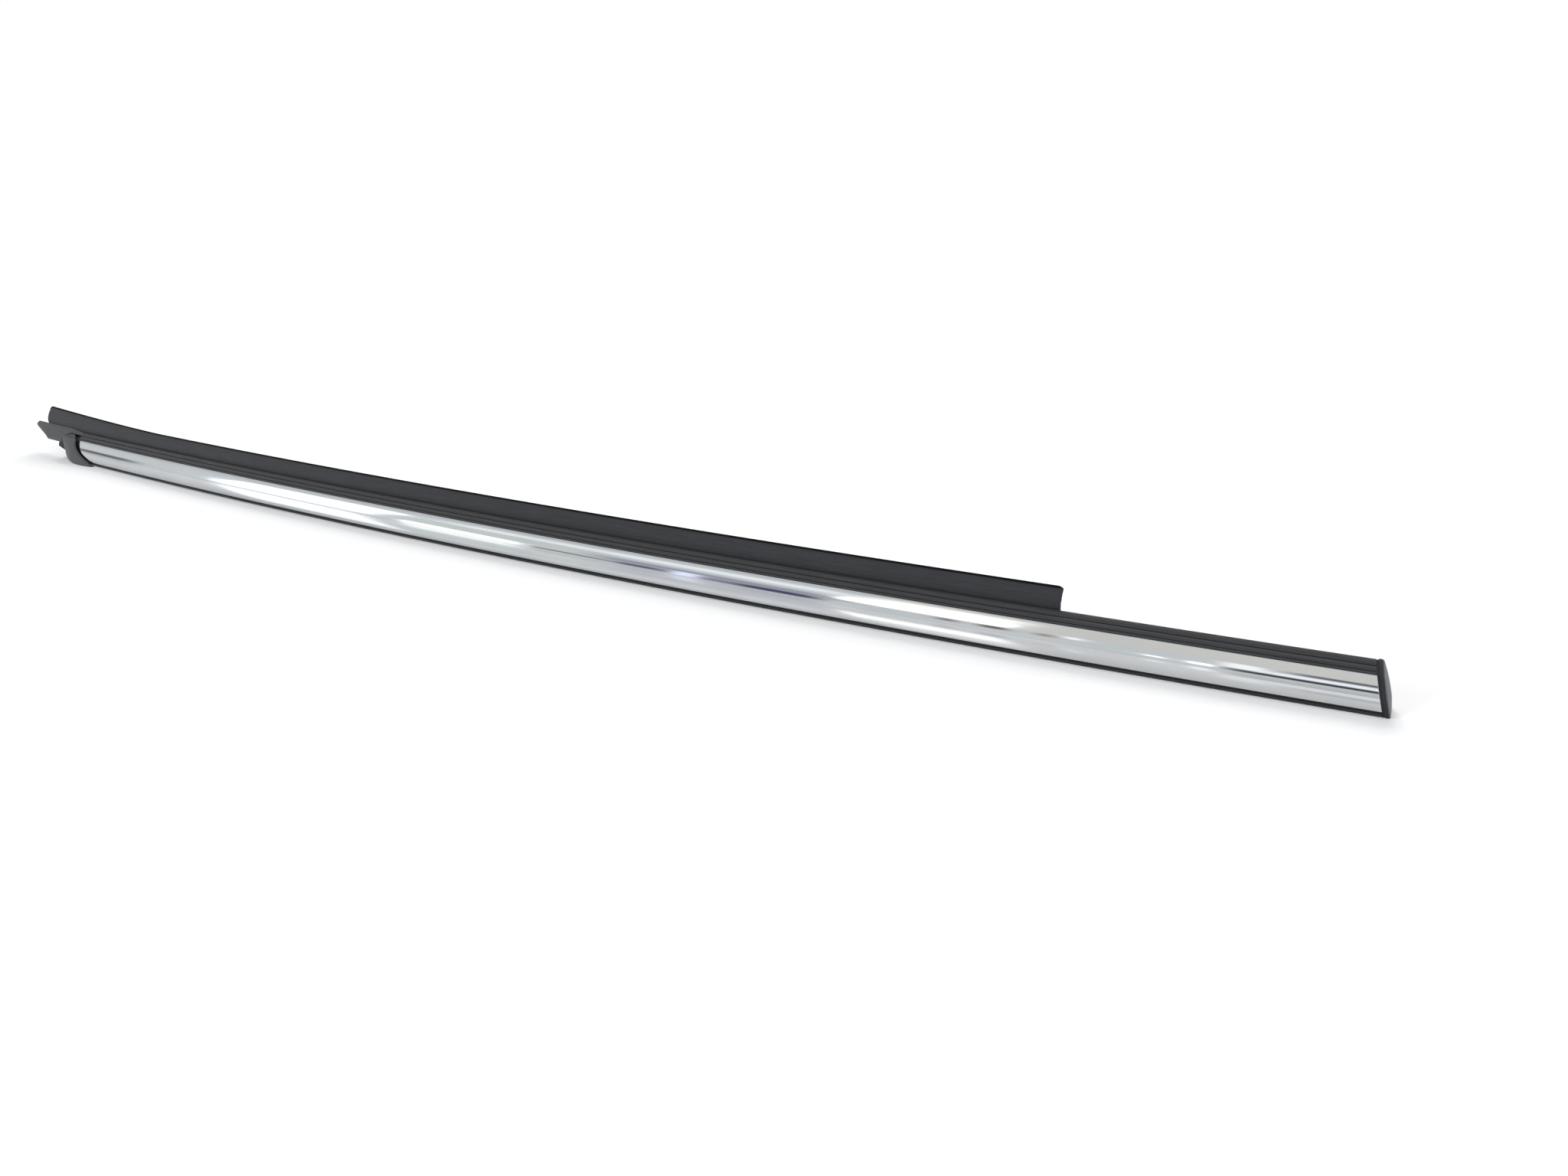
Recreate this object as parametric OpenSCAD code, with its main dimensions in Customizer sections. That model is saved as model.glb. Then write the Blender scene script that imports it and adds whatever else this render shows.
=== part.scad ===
// Outer belt-line moulding for a car's front door: a bowed weatherstrip that clips over the
// door panel's flange at the foot of the side window. A rigid channel carries a bright outer
// trim, a ribbed soft cover, two flocked glass lips, a soft skin lip and two moulded ends.
//
// Frame: +X along the strip towards the front end, +Y inboard towards the window glass,
// +Z up. The strip stands on its lower edges at z = 0 and bows outboard, towards -Y.
// A place on the strip is an arc length s along the bow, a depth d inboard of the skin lip's
// outer edge, and a height z. A section is drawn in (d, z).

/* [Overall] */
// Length along the bow, from the tail's tip to the front cap's outer face
strip_length = 1017; // [900:1:1100]
// Plan radius of the bow at the skin lip's outer edge
bow_radius = 6474; // [5000:10:9000]

/* [Bright trim] */
// Height of the bright face, straight across from edge to edge
face_chord = 15; // [13.5:0.1:16.5]
// Lean of the bright face, with its top edge inboard
face_lean = 12.5; // [10:0.5:15]
// Crown of the bright face over its chord
face_crown = 1.3; // [0.9:0.1:1.7]
// Height of the bright face's lower edge above the rest plane
face_foot = 2.9; // [2.6:0.1:3.6]
// How far the bright face's lower edge stands outboard of the skin lip
face_stand = 0.6; // [0.4:0.1:0.8]
// Sheet thickness of the bright trim
trim_t = 0.6; // [0.4:0.1:0.8]
// Width of the trim's lower return, which hooks under the channel's outer leg
hem_w = 2.1; // [1.8:0.1:2.4]
// Width of the trim's upper return, which lies under the ribbed cover
flange_w = 2.6; // [2.2:0.1:3]
// Radius of the trim's rounded rear end
trim_end_r = 18.5; // [15:0.5:22]

/* [Carrier channel] */
// Wall thickness of the channel
channel_t = 1.5; // [1.2:0.1:1.8]
// Depth of the inner leg's inboard face
leg_depth = 12.6; // [12.2:0.1:13.4]
// Width of a clip window in the inner leg, along the strip
window_w = 8; // [7:0.5:10]
// Height of a clip window
window_h = 3.2; // [3:0.1:3.6]

/* [Ribbed cover] */
// Slope of the ribbed band, rising inboard
band_slope = 26.5; // [24:0.5:29]
// Widths of the ribs, from the bright trim inboard
rib_widths = [1.8, 3.3, 3.8];
// Height of each rib's crest over its grooves
rib_h = 0.5; // [0.3:0.1:0.7]

/* [Glass lips] */
// Thickness of the upper glass lip at its root
lip_root_t = 1.7; // [1.4:0.1:2]
// Thickness of the upper glass lip at its tip
lip_tip_t = 1; // [0.8:0.1:1.2]
// Height of the upper lip's tip above its root
lip_rise = 10; // [8:0.1:12]
// How far the upper lip's tip lies inboard of its root
lip_reach = 4.2; // [3:0.1:5]
// Outboard belly of the upper lip over its chord
lip_belly = 1.6; // [1:0.1:2]
// Height of the lower glass lip's root
lower_lip_z = 8.2; // [7:0.1:9]
// Height of the lower lip's tip above its root
lower_lip_rise = 6.6; // [5.5:0.1:7.5]
// How far the lower lip's tip lies inboard of the inner leg
lower_lip_reach = 4.2; // [3.5:0.1:4.6]
// Thickness of the lower glass lip at its root
lower_lip_t = 1.3; // [1.1:0.1:1.6]
// Thickness of the soft skin that bonds each lip to the inner leg
skin_t = 0.8; // [0.6:0.1:1]
// Thickness of the flock layers
flock_t = 0.35; // [0.25:0.05:0.45]
// How far the upper lip's flock wraps over the tip onto the outboard side
flock_wrap = 0.8; // [0.5:0.1:1.2]

/* [Grip fins and clips] */
// Reach of a grip fin into the channel
fin_reach = 3.2; // [2.8:0.1:3.6]
// Thickness of a grip fin at its root
fin_t = 0.9; // [0.7:0.1:1.1]
// Length of a retaining clip along the strip
clip_l = 18; // [15:0.5:22]
// Sheet thickness of a retaining clip
clip_t = 0.5; // [0.4:0.1:0.6]
// Width of the tang that is sheared out of a clip
tang_w = 6; // [5:0.5:6.5]
// How far the tang stands out through its window
tang_out = 2; // [1.6:0.1:2.4]
// Distance from the tail's tip to the first clip
clip_start = 128; // [110:1:150]
// Distance from the front end to the last clip
clip_stop = 88; // [80:1:110]

/* [Rear end] */
// Distance from the tail's tip to the rear end of the bright trim
tail_l = 81.2; // [72:0.1:91]
// Length of the tail's slanted plan cut
tail_slant = 33; // [26:1:40]
// Depth of the tail blade's front edge along the bright face
tail_drop = 2.6; // [2:0.1:4]
// How far the tail's inboard edge stands proud of the ribbed band
tail_lift = 1.5; // [0.5:0.1:2]
// Length over which the tail's strip comes down to the ribs' height beside the mouth
tail_fade = 26; // [12:1:32]
// Width of the tail's shelf beyond the glass lip's rear end
tail_shelf = 2; // [1:0.1:3]
// Distance from the tail's tip to the rear end of the upper lip
lip_setback = 14; // [8:0.5:15]
// How much taller the upper lip is at its rear end
lip_flare = 4.6; // [0:0.1:6]
// Length over which the upper lip grows to that height
lip_flare_l = 165; // [100:5:220]
// Radius of the upper lip's rounded rear end
lip_end_r = 6; // [4:0.1:7]
// Length of that rounding along the lip's tip
lip_end_l = 12; // [6:0.5:16]
// Distance from the tail's tip to the rear end of the channel
channel_setback = 48; // [44:0.5:54]
// How far the feet of the channel's legs are raked forward at the rear end
leg_rake = 16; // [8:0.5:20]
// Distance from the bright trim's rear end back to the collar's rear edge at the shoulder
collar_w = 28.7; // [25:0.1:33]
// The same distance at the rest plane
collar_foot_w = 23.7; // [20:0.1:28]
// How far the collar's rear edge bows forward between shoulder and rest plane
collar_waist = 4; // [0:0.1:6]
// How far the collar's open edge stands proud at the shoulder
collar_rise = 1; // [0.6:0.1:1.8]
// How far the collar's open edge stands proud at the rest plane
collar_foot_rise = 1.9; // [1.6:0.1:3]
// Belly of the collar between its rear and open edges, at the rest plane
collar_belly = 3.8; // [2:0.1:4.4]
// How far the collar's rear edge is tucked in at the rest plane
collar_sink = 1.2; // [0.8:0.1:1.5]
// Wall thickness of the collar
collar_t = 1.6; // [1.2:0.1:2]
// Gap between the collar's open edge and the bright trim's rear end
collar_gap = 5.5; // [4:0.1:7]
// How far the collar's toe runs forward at the rest plane
collar_toe = 2.5; // [1:0.5:5]
// Width across the ribbed band of the mouth under the collar
mouth_w = 6.4; // [5:0.1:7.2]
// How far the mouth runs back at its inboard end
mouth_slant = 13; // [8:0.5:18]
// Depth of the scoop that leads into the mouth
mouth_scoop = 1.6; // [0.6:0.1:1.8]
// How deep the collar is dished beside the mouth
mouth_dish = 0.8; // [0:0.1:1.2]
// How far the ribbed cover's rear end slants back from the bright trim to the glass lip
cover_slant = 7.2; // [4:0.1:9]

/* [Front end] */
// Visible thickness of the front cap
cap_t = 3; // [2.4:0.1:4]
// Rake of the front end, top edge set back
cap_rake = 15; // [10:1:20]
// Rounding of the front cap's outer rim
cap_rim = 1.2; // [0.8:0.1:1.6]
// Length of the front cap's spigot inside the channel
spigot_l = 16; // [13:0.5:20]
// Distance from the front end to the front end of the upper lip
lip_stop = 141.5; // [120:0.5:165]
// Shank diameter of the rivet that holds the front cap
rivet_d = 3.2; // [2.4:0.1:4]
// Head diameter of that rivet
rivet_head_d = 6; // [5:0.1:7]
// Length of each foam block in the channel
foam_l = 22; // [16:1:30]

/* [Hidden] */
// Retaining clips along the strip
clip_count = 6;
$fn = 64;

// Clearance between parts that are pushed into each other
fit_gap = 0.15;
// Clearance between the bright trim and the channel it is rolled onto
seat_gap = 0.3;
// Overlap of a cutting shape past what it cuts
beyond = 40;
// Overlap of shapes that would otherwise only touch
lap = 0.05;
// Facets in a full turn of the bow
bow_facets = 1440;
// Segments in the long, the middling and the short curves of a section
arc_steps = 10;
lip_steps = 9;
bead_steps = 6;

// How far the ribbed cover's outboard corner lies behind the bright trim's rear end
cover_setback = 1.5;
// How far the upper lip's root lies inboard of the ribs, and how far below their edge
lip_inset = 0.7;
lip_sink = 0.3;
// How far the upper lip's foot wraps down the inner leg
lip_wrap = 4.5;
// First corner of the upper lip's inboard side, and of the lower lip's, that carries flock
flock_from = 3;
// Stations over the upper lip's growing rear stretch, and over the rest of it
flare_rows = 12;
lip_rows = 16;
// How sharply the upper lip's growth sets in
flare_power = 1.3;
// Hollow of the lower lip's inboard side
lower_lip_hollow = 1.2;
// Heights of the lower lip's skin: above its root, below its root, below its tip
lower_lip_neck = 2.4;
lower_lip_skirt = 1.2;
lower_lip_head = 1;
// How far the lower lip stops short of the channel's two ends
lower_lip_rear = 2;
lower_lip_front = 30;
// Depth of the skin lip's outer bead, where that bead starts and ends, its corner in the trim
skin_bead = 0.45;
bead_low = 0.3;
bead_high = 0.1;
bead_lap = 0.7;
// Width of the skin lip's sole, and the rise and width of its inboard edge
sole_w = 1.7;
sole_rise = 0.6;
sole_edge = 0.4;
// How far the skin lip covers the foot of the channel's outer leg on its inboard side
skin_cover = 1.2;
skin_turn = 0.5;
// How far the skin lip's rear end lies behind the end of the bright trim's rounding
skin_rear = 2;
// Thickness of the fins' base, and a fin's rise and hollow
fin_base_t = 0.6;
fin_rise = 2.2;
fin_hollow = 0.4;
// Room between the fins' base and the foam blocks
fin_room = 13;
// Corners of the channel's inside that carry a fin
fin_corners = [4, 7];
// Height of a clip window's top edge
window_z = 9.4;
// Height of a clip's foot; its leaf's gap to the inner leg and height; its width under the web
clip_foot_z = 1.6;
leaf_gap = 2.6;
leaf_z = 6.2;
clip_web_w = 3.4;
// Curl at the leaf's end
clip_curl = [1, -1.6];
// Slit beside the tang, how far the tang's root runs up past its window, its tip's thickness
tang_slit = 0.5;
tang_root = 1;
tang_tip = 0.5;
// Thickness of the wall that closes the upper part of the channel's rear end
end_wall_t = 1.6;
// Blunt tip of the tail, and where its slanted cut and its inboard corner lie
tip_d = 8.2;
tip_w = 4;
tip_cut = 0.5;
cut_d = 0.6;
// Rows of the collar over the ribbed band and steps across its width
band_rows = 6;
collar_steps = 12;
// How late the turns of the collar's toe, of its mouth and of its scoop set in
toe_power = 1.8;
mouth_power = 0.8;
scoop_power = 0.45;
// How far the collar's rear edge runs back at the mouth's inboard end
collar_back_in = 0.5;
// Share of the rake that stays high under the tail, and how far it comes down over it
rake_share = 0.6;
rake_drop = 2.1;
// How far the collar's rear edge lies below the tail: at the shoulder, and more down the face
collar_tuck = 0.05;
collar_tuck_face = 0.3;
// Belly of the collar at the shoulder
shoulder_belly = 0.6;
// How far the tail keeps clear of the collar's inner side
collar_lap = 1;
// Height of the front cap's rivet, its distance from the spigot's middle, its head's height
rivet_z = 9;
rivet_shift = 2;
rivet_head_h = 1.2;
rivet_grip = 5;
// Width and height of the front cap's rounding, each as a share of its rim
cap_round = [0.7, 0.3];
// Distance of the foam blocks from the rear plug and from the front spigot
foam_gap = [6, 3];

// Stations along the bow
rear_end = -strip_length / 2;
front_end = strip_length / 2;
trim_rear = rear_end + tail_l;
lip_rear = rear_end + lip_setback;
lip_front = front_end - lip_stop;
channel_rear = rear_end + channel_setback;
cover_rear = trim_rear - cover_setback;
cover_back = cover_rear - cover_slant;
rear_foam_s = cover_rear + foam_gap[0];
front_foam_s = front_end - cap_t - spigot_l - foam_l - foam_gap[1];
clip_pitch = (strip_length - clip_start - clip_stop) / (clip_count - 1);
rivet_s = front_end - cap_t - spigot_l / 2 - rivet_shift;

// ---- Plane geometry -------------------------------------------------------------------

function unit(v) = v / norm(v);
function right_of(v) = [v.y, -v.x];
function dir_at(path, i) = unit(path[i + 1] - path[i]);
function slice(path, from, to) = [for (i = [from:to]) path[i]];
function last(path) = path[len(path) - 1];
function reversed(path) = [for (i = [len(path) - 1:-1:0]) path[i]];
function total(list, n) = n == 0 ? 0 : list[n - 1] + total(list, n - 1);

// Vector from corner i of a path to the same corner of the path set off by 1 to its right
function mitre(path, i) =
    let (a = right_of(dir_at(path, max(i - 1, 0))),
         b = right_of(dir_at(path, min(i, len(path) - 2))))
    (a + b) / (1 + a * b);

// The path set off to its right by t0 at its start, tapering to t1 at its end
function set_off(path, t0, t1) =
    [for (i = [0:len(path) - 1]) path[i] + (t0 + (t1 - t0) * i / (len(path) - 1)) * mitre(path, i)];

// Closed outline of a sheet that lies to the right of a path
function sheet(path, t0, t1) = concat(path, reversed(set_off(path, t0, t1)));

// Circular arc from p to q that bellies out to its left by h, or only its last part
function arc(p, q, h, steps = arc_steps, from = 0) =
    let (c = norm(q - p), r = c * c / (8 * h) + h / 2, along = (q - p) / c, out = -right_of(along),
         centre = (p + q) / 2 + (h - r) * out, half = asin(c / 2 / r))
    [for (i = [0:steps]) let (a = half * (2 * (from + (1 - from) * i / steps) - 1))
        centre + r * (cos(a) * out + sin(a) * along)];

// ---- Sections in (depth, height) --------------------------------------------------------

band_dir = [cos(band_slope), sin(band_slope)];
band_in = right_of(band_dir);
face_low = [-face_stand, face_foot];
face_top = face_low + face_chord * [sin(face_lean), cos(face_lean)];
face_arc = arc(face_low, face_top, face_crown);

// Trim: lower return, crowned face, upper return
hem_end = face_low + [hem_w, 0];
trim_path = concat([hem_end], face_arc, [face_top + [flange_w, 0]]);
trim_seat = set_off(trim_path, trim_t + seat_gap, trim_t + seat_gap);

// Thickness of the cover over the channel's web, and where its ribs start and end
cover_t = (flange_w * tan(band_slope) + trim_t + seat_gap) * cos(band_slope);
rib_edges = [for (i = [0:len(rib_widths)]) face_top + total(rib_widths, i) * band_dir];
band_end = last(rib_edges);
band_top = [for (k = [0:len(rib_widths) - 1]) each arc(rib_edges[k], rib_edges[k + 1], rib_h, bead_steps)];

// Channel: up behind the trim, along under the cover, down the inner leg
web_corner = last(trim_seat) + (leg_depth - last(trim_seat).x) / cos(band_slope) * band_dir;
channel_path = concat(slice(trim_seat, 1, len(trim_seat) - 1), [web_corner, [leg_depth, 0]]);
channel_inside = set_off(channel_path, channel_t, channel_t);
inner_face = leg_depth - channel_t;
skin_face = leg_depth + skin_t;

// The channel's inside less a clearance, for what is pushed into it
plug_outline = [channel_inside[3] + [fit_gap, 0], channel_inside[8] + [fit_gap, 0],
    [inner_face - fit_gap, channel_inside[8].y], [inner_face - fit_gap, channel_inside[3].y]];

// Underside of the cover: the channel's web, then round the trim's upper return
cover_seat = [last(trim_seat), last(trim_path)];
cover_foot = band_end + cover_t * band_in;

// Upper glass lip from root to tip, and its two sides with as many corners on each: its foot
// wraps the channel's inboard corner
lip_root = band_end + [lip_inset, -lip_sink];
lip_tip = lip_root + [lip_reach, lip_rise];
lip_path = arc(lip_root, lip_tip, lip_belly, lip_steps);
lip_back = set_off(lip_path, lip_root_t, lip_tip_t);
lip_foot_z = web_corner.y - lip_wrap;
lip_outboard = concat(
    [[leg_depth, lip_foot_z], web_corner, cover_foot, band_end + rib_h * band_in], lip_path);
lip_inboard = concat([[skin_face, lip_foot_z]],
    [for (i = [0:2]) let (low = [skin_face, web_corner.y]) low + (lip_back[0] - low) * i / 3], lip_back);

// Lower glass lip: its inboard side, root to tip
lower_lip_top = lower_lip_z + lower_lip_rise;
lower_path = arc([skin_face, lower_lip_z], [leg_depth + lower_lip_reach, lower_lip_top], -lower_lip_hollow);
lower_back = set_off(lower_path, -lower_lip_t, -lip_tip_t);

// Retaining clip: up the inner leg, across under the web, down as a leaf, out in a curl
web_under = channel_inside[len(channel_inside) - 2];
clip_top = web_under - [clip_t, 0] / 2 - [0, fit_gap];
clip_leaf = [inner_face - leaf_gap, leaf_z];
clip_path = [[inner_face, clip_foot_z], [inner_face, clip_top.y], clip_top - clip_web_w * band_dir,
    clip_leaf, clip_leaf + clip_curl];
clip_limb = inner_face - clip_t;
window_low = window_z - window_h;

// Plug in the channel's rear end, above the rake, and the wall that closes it
end_wall_z = channel_inside[5].y;
rear_plug = [channel_inside[5] + [fit_gap, 0], plug_outline[1], plug_outline[2],
    [plug_outline[3].x, end_wall_z]];
end_wall = [for (p = concat(slice(channel_path, 2, len(channel_path) - 2), [[leg_depth, end_wall_z]]))
    if (p.y >= end_wall_z) p];

// ---- Sweeping and cutting ---------------------------------------------------------------

function bow_angle(s) = s / bow_radius * 180 / PI;

// Point in space at arc length s, depth d and height z
function bow_point(s, d, z) =
    [(bow_radius - d) * sin(bow_angle(s)), bow_radius - (bow_radius - d) * cos(bow_angle(s)), z];

// Local frame at arc length s: x along the strip, y inboard, z up
module at_arc(s) {
    translate([0, bow_radius, 0]) rotate([0, 0, bow_angle(s)]) translate([0, -bow_radius, 0]) children();
}

// Carries a section along the bow from arc length s0 to s1
module sweep(s0, s1) {
    translate([0, bow_radius, 0])
        rotate_extrude(start = 270 + bow_angle(s0), angle = bow_angle(s1 - s0), $fn = bow_facets)
            translate([bow_radius, 0]) mirror([1, 0]) children();
}

// Cuts the front end off along the rake
module raked_front() {
    difference() {
        children();
        at_arc(front_end) translate([-cap_t, -beyond, cap_rim]) rotate([0, -cap_rake, 0])
            translate([0, 0, -beyond]) cube([beyond, 2 * beyond, 2 * beyond]);
    }
}

// Solid between two grids of points, each a list of rows
module shell(outer, inner) {
    rows = len(outer);
    cols = len(outer[0]);
    half = rows * cols;
    cells = [for (k = [0:rows - 2]) for (i = [0:cols - 2])
        let (a = k * cols + i) [a, a + 1, a + cols + 1, a + cols]];
    ring = concat([for (i = [0:cols - 2]) i], [for (k = [0:rows - 2]) k * cols + cols - 1],
        [for (i = [cols - 1:-1:1]) (rows - 1) * cols + i], [for (k = [rows - 1:-1:1]) k * cols]);
    quads = concat(cells, [for (c = cells) [for (j = [3:-1:0]) c[j] + half]],
        [for (i = [0:len(ring) - 1]) let (a = ring[i], b = ring[(i + 1) % len(ring)])
            [b, a, a + half, b + half]]);
    polyhedron([for (grid = [outer, inner]) for (row = grid) each row],
        [for (q = quads) each [[q[0], q[1], q[2]], [q[0], q[2], q[3]]]]);
}

// ---- Trim, channel and cover --------------------------------------------------------------

module bright_trim() {
    color("silver") raked_front() difference() {
        sweep(trim_rear, front_end) polygon(sheet(trim_path, trim_t, trim_t));
        rear_corner();
    }
}

// What the rounding takes off the trim's rear end: the rounding runs out at the trim's foot
module rear_corner() {
    at_arc(trim_rear) difference() {
        translate([-1, -beyond / 2, -1]) cube([trim_end_r + 1, beyond, beyond]);
        translate([trim_end_r, 0, face_foot + trim_end_r - lap]) rotate([90, 0, 0])
            cylinder(h = 2 * beyond, r = trim_end_r, center = true, $fn = 128);
    }
}

module carrier_channel() {
    color("#2b2d30") raked_front() difference() {
        sweep(channel_rear, front_end) polygon(sheet(channel_path, channel_t, channel_t));
        for (i = [1:clip_count]) window(clip_place(i), window_w);
        rivet_hole();
        at_arc(channel_rear) translate([0, beyond, 0]) rotate([90, 0, 0]) linear_extrude(2 * beyond)
            polygon([[-1, end_wall_z], [0, end_wall_z], [leg_rake * rake_share, end_wall_z - rake_drop],
                [leg_rake, -1], [-1, -1]]);
    }
}

// Window of width w about arc length s, through the inner leg and a clip's limb on it
module window(s, w) {
    sweep(s - w / 2, s + w / 2) translate([clip_limb - 1, window_low])
        square([clip_t + channel_t + 2, window_h]);
}

module ribbed_cover() {
    color("#404247") raked_front() difference() {
        sweep(cover_back - 1, front_end) polygon(concat(band_top, [cover_foot], cover_seat));
        beside_slant(0, -1);
    }
}

// All that lies on one side of the ribbed cover's slanted rear end, or of a line set back from
// it: in front of it where side is 1, behind it where side is -1
module beside_slant(back, side) {
    lean = cover_slant / (band_end.x - face_top.x) * beyond;
    far = side * (lean + beyond);
    at_arc(cover_rear) translate([-back, face_top.x, 0]) linear_extrude(beyond)
        polygon([[lean, -beyond], [far, -beyond], [far, beyond], [-lean, beyond]]);
}

// ---- Lips -----------------------------------------------------------------------------------

module glass_lip() {
    color("#3a3c40") flared(lip_outboard, lip_inboard);
}

module glass_lip_flock() {
    wrap = lip_tip + flock_wrap * unit(lip_path[len(lip_path) - 2] - lip_tip);
    path = concat(slice(lip_back, flock_from, len(lip_back) - 1), [lip_tip, wrap]);
    color("#17181a") flared(path, set_off(path, flock_t, flock_t));
}

// Carries the two sides of an upper lip's section along the strip
module flared(outboard, inboard) {
    shell([for (s = lip_stations) [for (p = outboard) lip_point(s, p)]],
        [for (s = lip_stations) [for (p = inboard) lip_point(s, p)]]);
}

// Stations along the upper lip, closer together over its rear stretch
lip_stations = concat([for (j = [0:flare_rows - 1]) lip_rear + j * lip_flare_l / flare_rows],
    [for (j = [0:lip_rows]) let (from = lip_rear + lip_flare_l) from + j * (lip_front - from) / lip_rows]);

// Growth of the upper lip's height at arc length s
function flare_at(s) = lip_flare * pow(max(0, 1 - (s - lip_rear) / lip_flare_l), flare_power);

// Where a corner of the upper lip's section lies at arc length s: raised by the lip's growth,
// and held back round the corners of the lip's rear end
function lip_point(s, p) =
    let (z = p.y + flare_at(s) * min(1, max(0, (p.y - lip_root.y) / lip_rise)), r = lip_end_r,
         high = min(r, max(0, z - (lip_tip.y + flare_at(s) - r))), low = min(r, max(0, lip_root.y + r - z)),
         back = lip_end_l * (1 - sqrt(1 - high * high / r / r)) + r - sqrt(r * r - low * low))
    bow_point(s + back * max(0, 1 - (s - lip_rear) / (2 * lip_end_l)), p.x, z);

module lower_glass_lip() {
    color("#3a3c40") along_lower_lip()
        polygon(concat(lower_path, reversed(slice(lower_back, 1, len(lower_back) - 1)),
            [[skin_face, lower_lip_z + lower_lip_neck], [skin_face, lower_lip_top - lower_lip_head],
             [leg_depth, lower_lip_top - lower_lip_head], [leg_depth, lower_lip_z - lower_lip_skirt],
             [skin_face, lower_lip_z - lower_lip_skirt]]));
}

module lower_lip_flock() {
    color("#17181a") along_lower_lip()
        polygon(sheet(slice(lower_path, flock_from, len(lower_path) - 1), flock_t, flock_t));
}

module along_lower_lip() {
    sweep(channel_rear + lower_lip_rear, front_end - lower_lip_front) children();
}

// Soft lip along the bottom that rests on the door's outer skin
module skin_lip() {
    bead_top = face_foot - skin_bead;
    leg_in = channel_inside[0];
    inner = channel_inside[2];
    color("#3f4145") raked_front() sweep(trim_rear + trim_end_r - skin_rear, front_end)
        polygon(concat(arc([bead_low, 0], [bead_high, bead_top], skin_bead, bead_steps),
            [[bead_lap, bead_top], [bead_lap, face_foot], hem_end, hem_end + [0, trim_t],
             [leg_in.x, face_foot + trim_t], leg_in, inner, inner + [skin_turn, 0],
             [leg_in.x + skin_cover, leg_in.y], [sole_w + sole_edge, sole_rise], [sole_w, 0]]));
}

// ---- Fins and clips ---------------------------------------------------------------------------

module grip_fins() {
    color("#34363a")
        sweep(rear_foam_s + foam_l + fin_room, front_foam_s - fin_room) union() {
            polygon(sheet(slice(channel_inside, fin_corners[0], fin_corners[1] + 2),
                fin_base_t, fin_base_t));
            for (i = fin_corners) grip_fin(channel_inside[i]);
        }
}

// One fin in section, rising into the channel from a point on the outer leg's inner face
module grip_fin(root) {
    path = arc(root + [2 * lap, 0], root + [fin_reach, fin_rise], fin_hollow, bead_steps);
    polygon(sheet(path, fin_t, fin_t * 0.6));
}

function clip_place(i) = rear_end + clip_start + (i - 1) * clip_pitch;

// Spring clip in the channel, locked by a tang through the inner leg's window
module retaining_clip(i) {
    s = clip_place(i);
    tip = inner_face + tang_out;
    color("#8d9094") union() {
        difference() {
            sweep(s - clip_l / 2, s + clip_l / 2) polygon(sheet(clip_path, -clip_t, -clip_t));
            window(s, tang_w + 2 * tang_slit);
        }
        sweep(s - tang_w / 2, s + tang_w / 2)
            polygon([[clip_limb, window_z + tang_root], [clip_limb, window_z - clip_t],
                [tip, window_low + tang_slit], [tip + tang_slit, window_low + tang_slit + tang_tip],
                [inner_face, window_z - fit_gap], [inner_face, window_z + tang_root]]);
    }
}

// ---- Rear end -----------------------------------------------------------------------------

module rear_end_cap() {
    color("#55575b") union() {
        difference() {
            union() {
                tail_blade();
                collar();
            }
            sweep(channel_rear, cover_rear + collar_w)
                polygon(set_off(channel_path, -fit_gap, -fit_gap));
        }
        sweep(channel_rear - end_wall_t, channel_rear - fit_gap) polygon(end_wall);
        sweep(channel_rear - end_wall_t / 2, cover_rear) polygon(rear_plug);
    }
}

// Inboard edge of the tail, beside the glass lip
tail_inner = band_end + [0, tail_lift];

// Flat tail: the band's surface and the top of the face, with the mouth cut out of it
module tail_blade() {
    blade = concat(arc(face_low, face_top, face_crown, 3, 1 - tail_drop / face_chord), [tail_inner]);
    shelf = [tail_inner - band_dir, tail_inner + tail_shelf * unit(tail_inner - face_top)];
    difference() {
        intersection() {
            union() {
                sweep(rear_end, cover_rear) polygon(sheet(blade, cover_t, cover_t));
                sweep(rear_end, lip_rear - fit_gap) polygon(sheet(shelf, cover_t, cover_t));
            }
            tail_plan();
        }
        beside_slant(fit_gap, 1);
        mouth_plan();
        hull() {
            sweep(cover_rear - tail_fade, cover_rear - tail_fade + lap) polygon(above_band(tail_lift));
            sweep(cover_rear - lap, cover_rear + lap) polygon(above_band(rib_h));
        }
    }
}

// Region above a line from the foot of the band up to a height over its inboard edge
function above_band(height) = let (edge = band_end + [0, height], reach = edge - face_top)
    [face_top, edge + reach / 2, edge + reach / 2 + [0, leg_depth], face_top + [0, leg_depth]];

// Plan of the tail: a slanted cut to a blunt tip
module tail_plan() {
    at_arc(rear_end) translate([0, 0, -1]) linear_extrude(beyond)
        polygon([[0, tip_d], [tail_slant, cut_d], [tail_slant + tip_w, -beyond], [tail_l + beyond, -beyond],
            [tail_l + beyond, beyond], [tip_w, beyond], [tip_w, leg_depth + 1],
            [tip_cut, band_end.x + tip_cut]]);
}

// Line that the collar follows: down the ribbed band, over the shoulder, down the face
collar_line = concat(
    [for (j = [band_rows:-1:0]) face_top + mouth_w * j / band_rows * unit(tail_inner - face_top)],
    reversed(slice(face_arc, 0, len(face_arc) - 2)),
    [[face_low.x + lap, face_foot / 2], [face_low.x + collar_tuck_face, 0]]);

// How far row k of that line lies up the band, 1 at its start, and down the face, 1 at its end
function inboard(k) = max(0, 1 - k / band_rows);
function down(k) = max(0, face_top.y - collar_line[k].y) / face_top.y;

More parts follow.
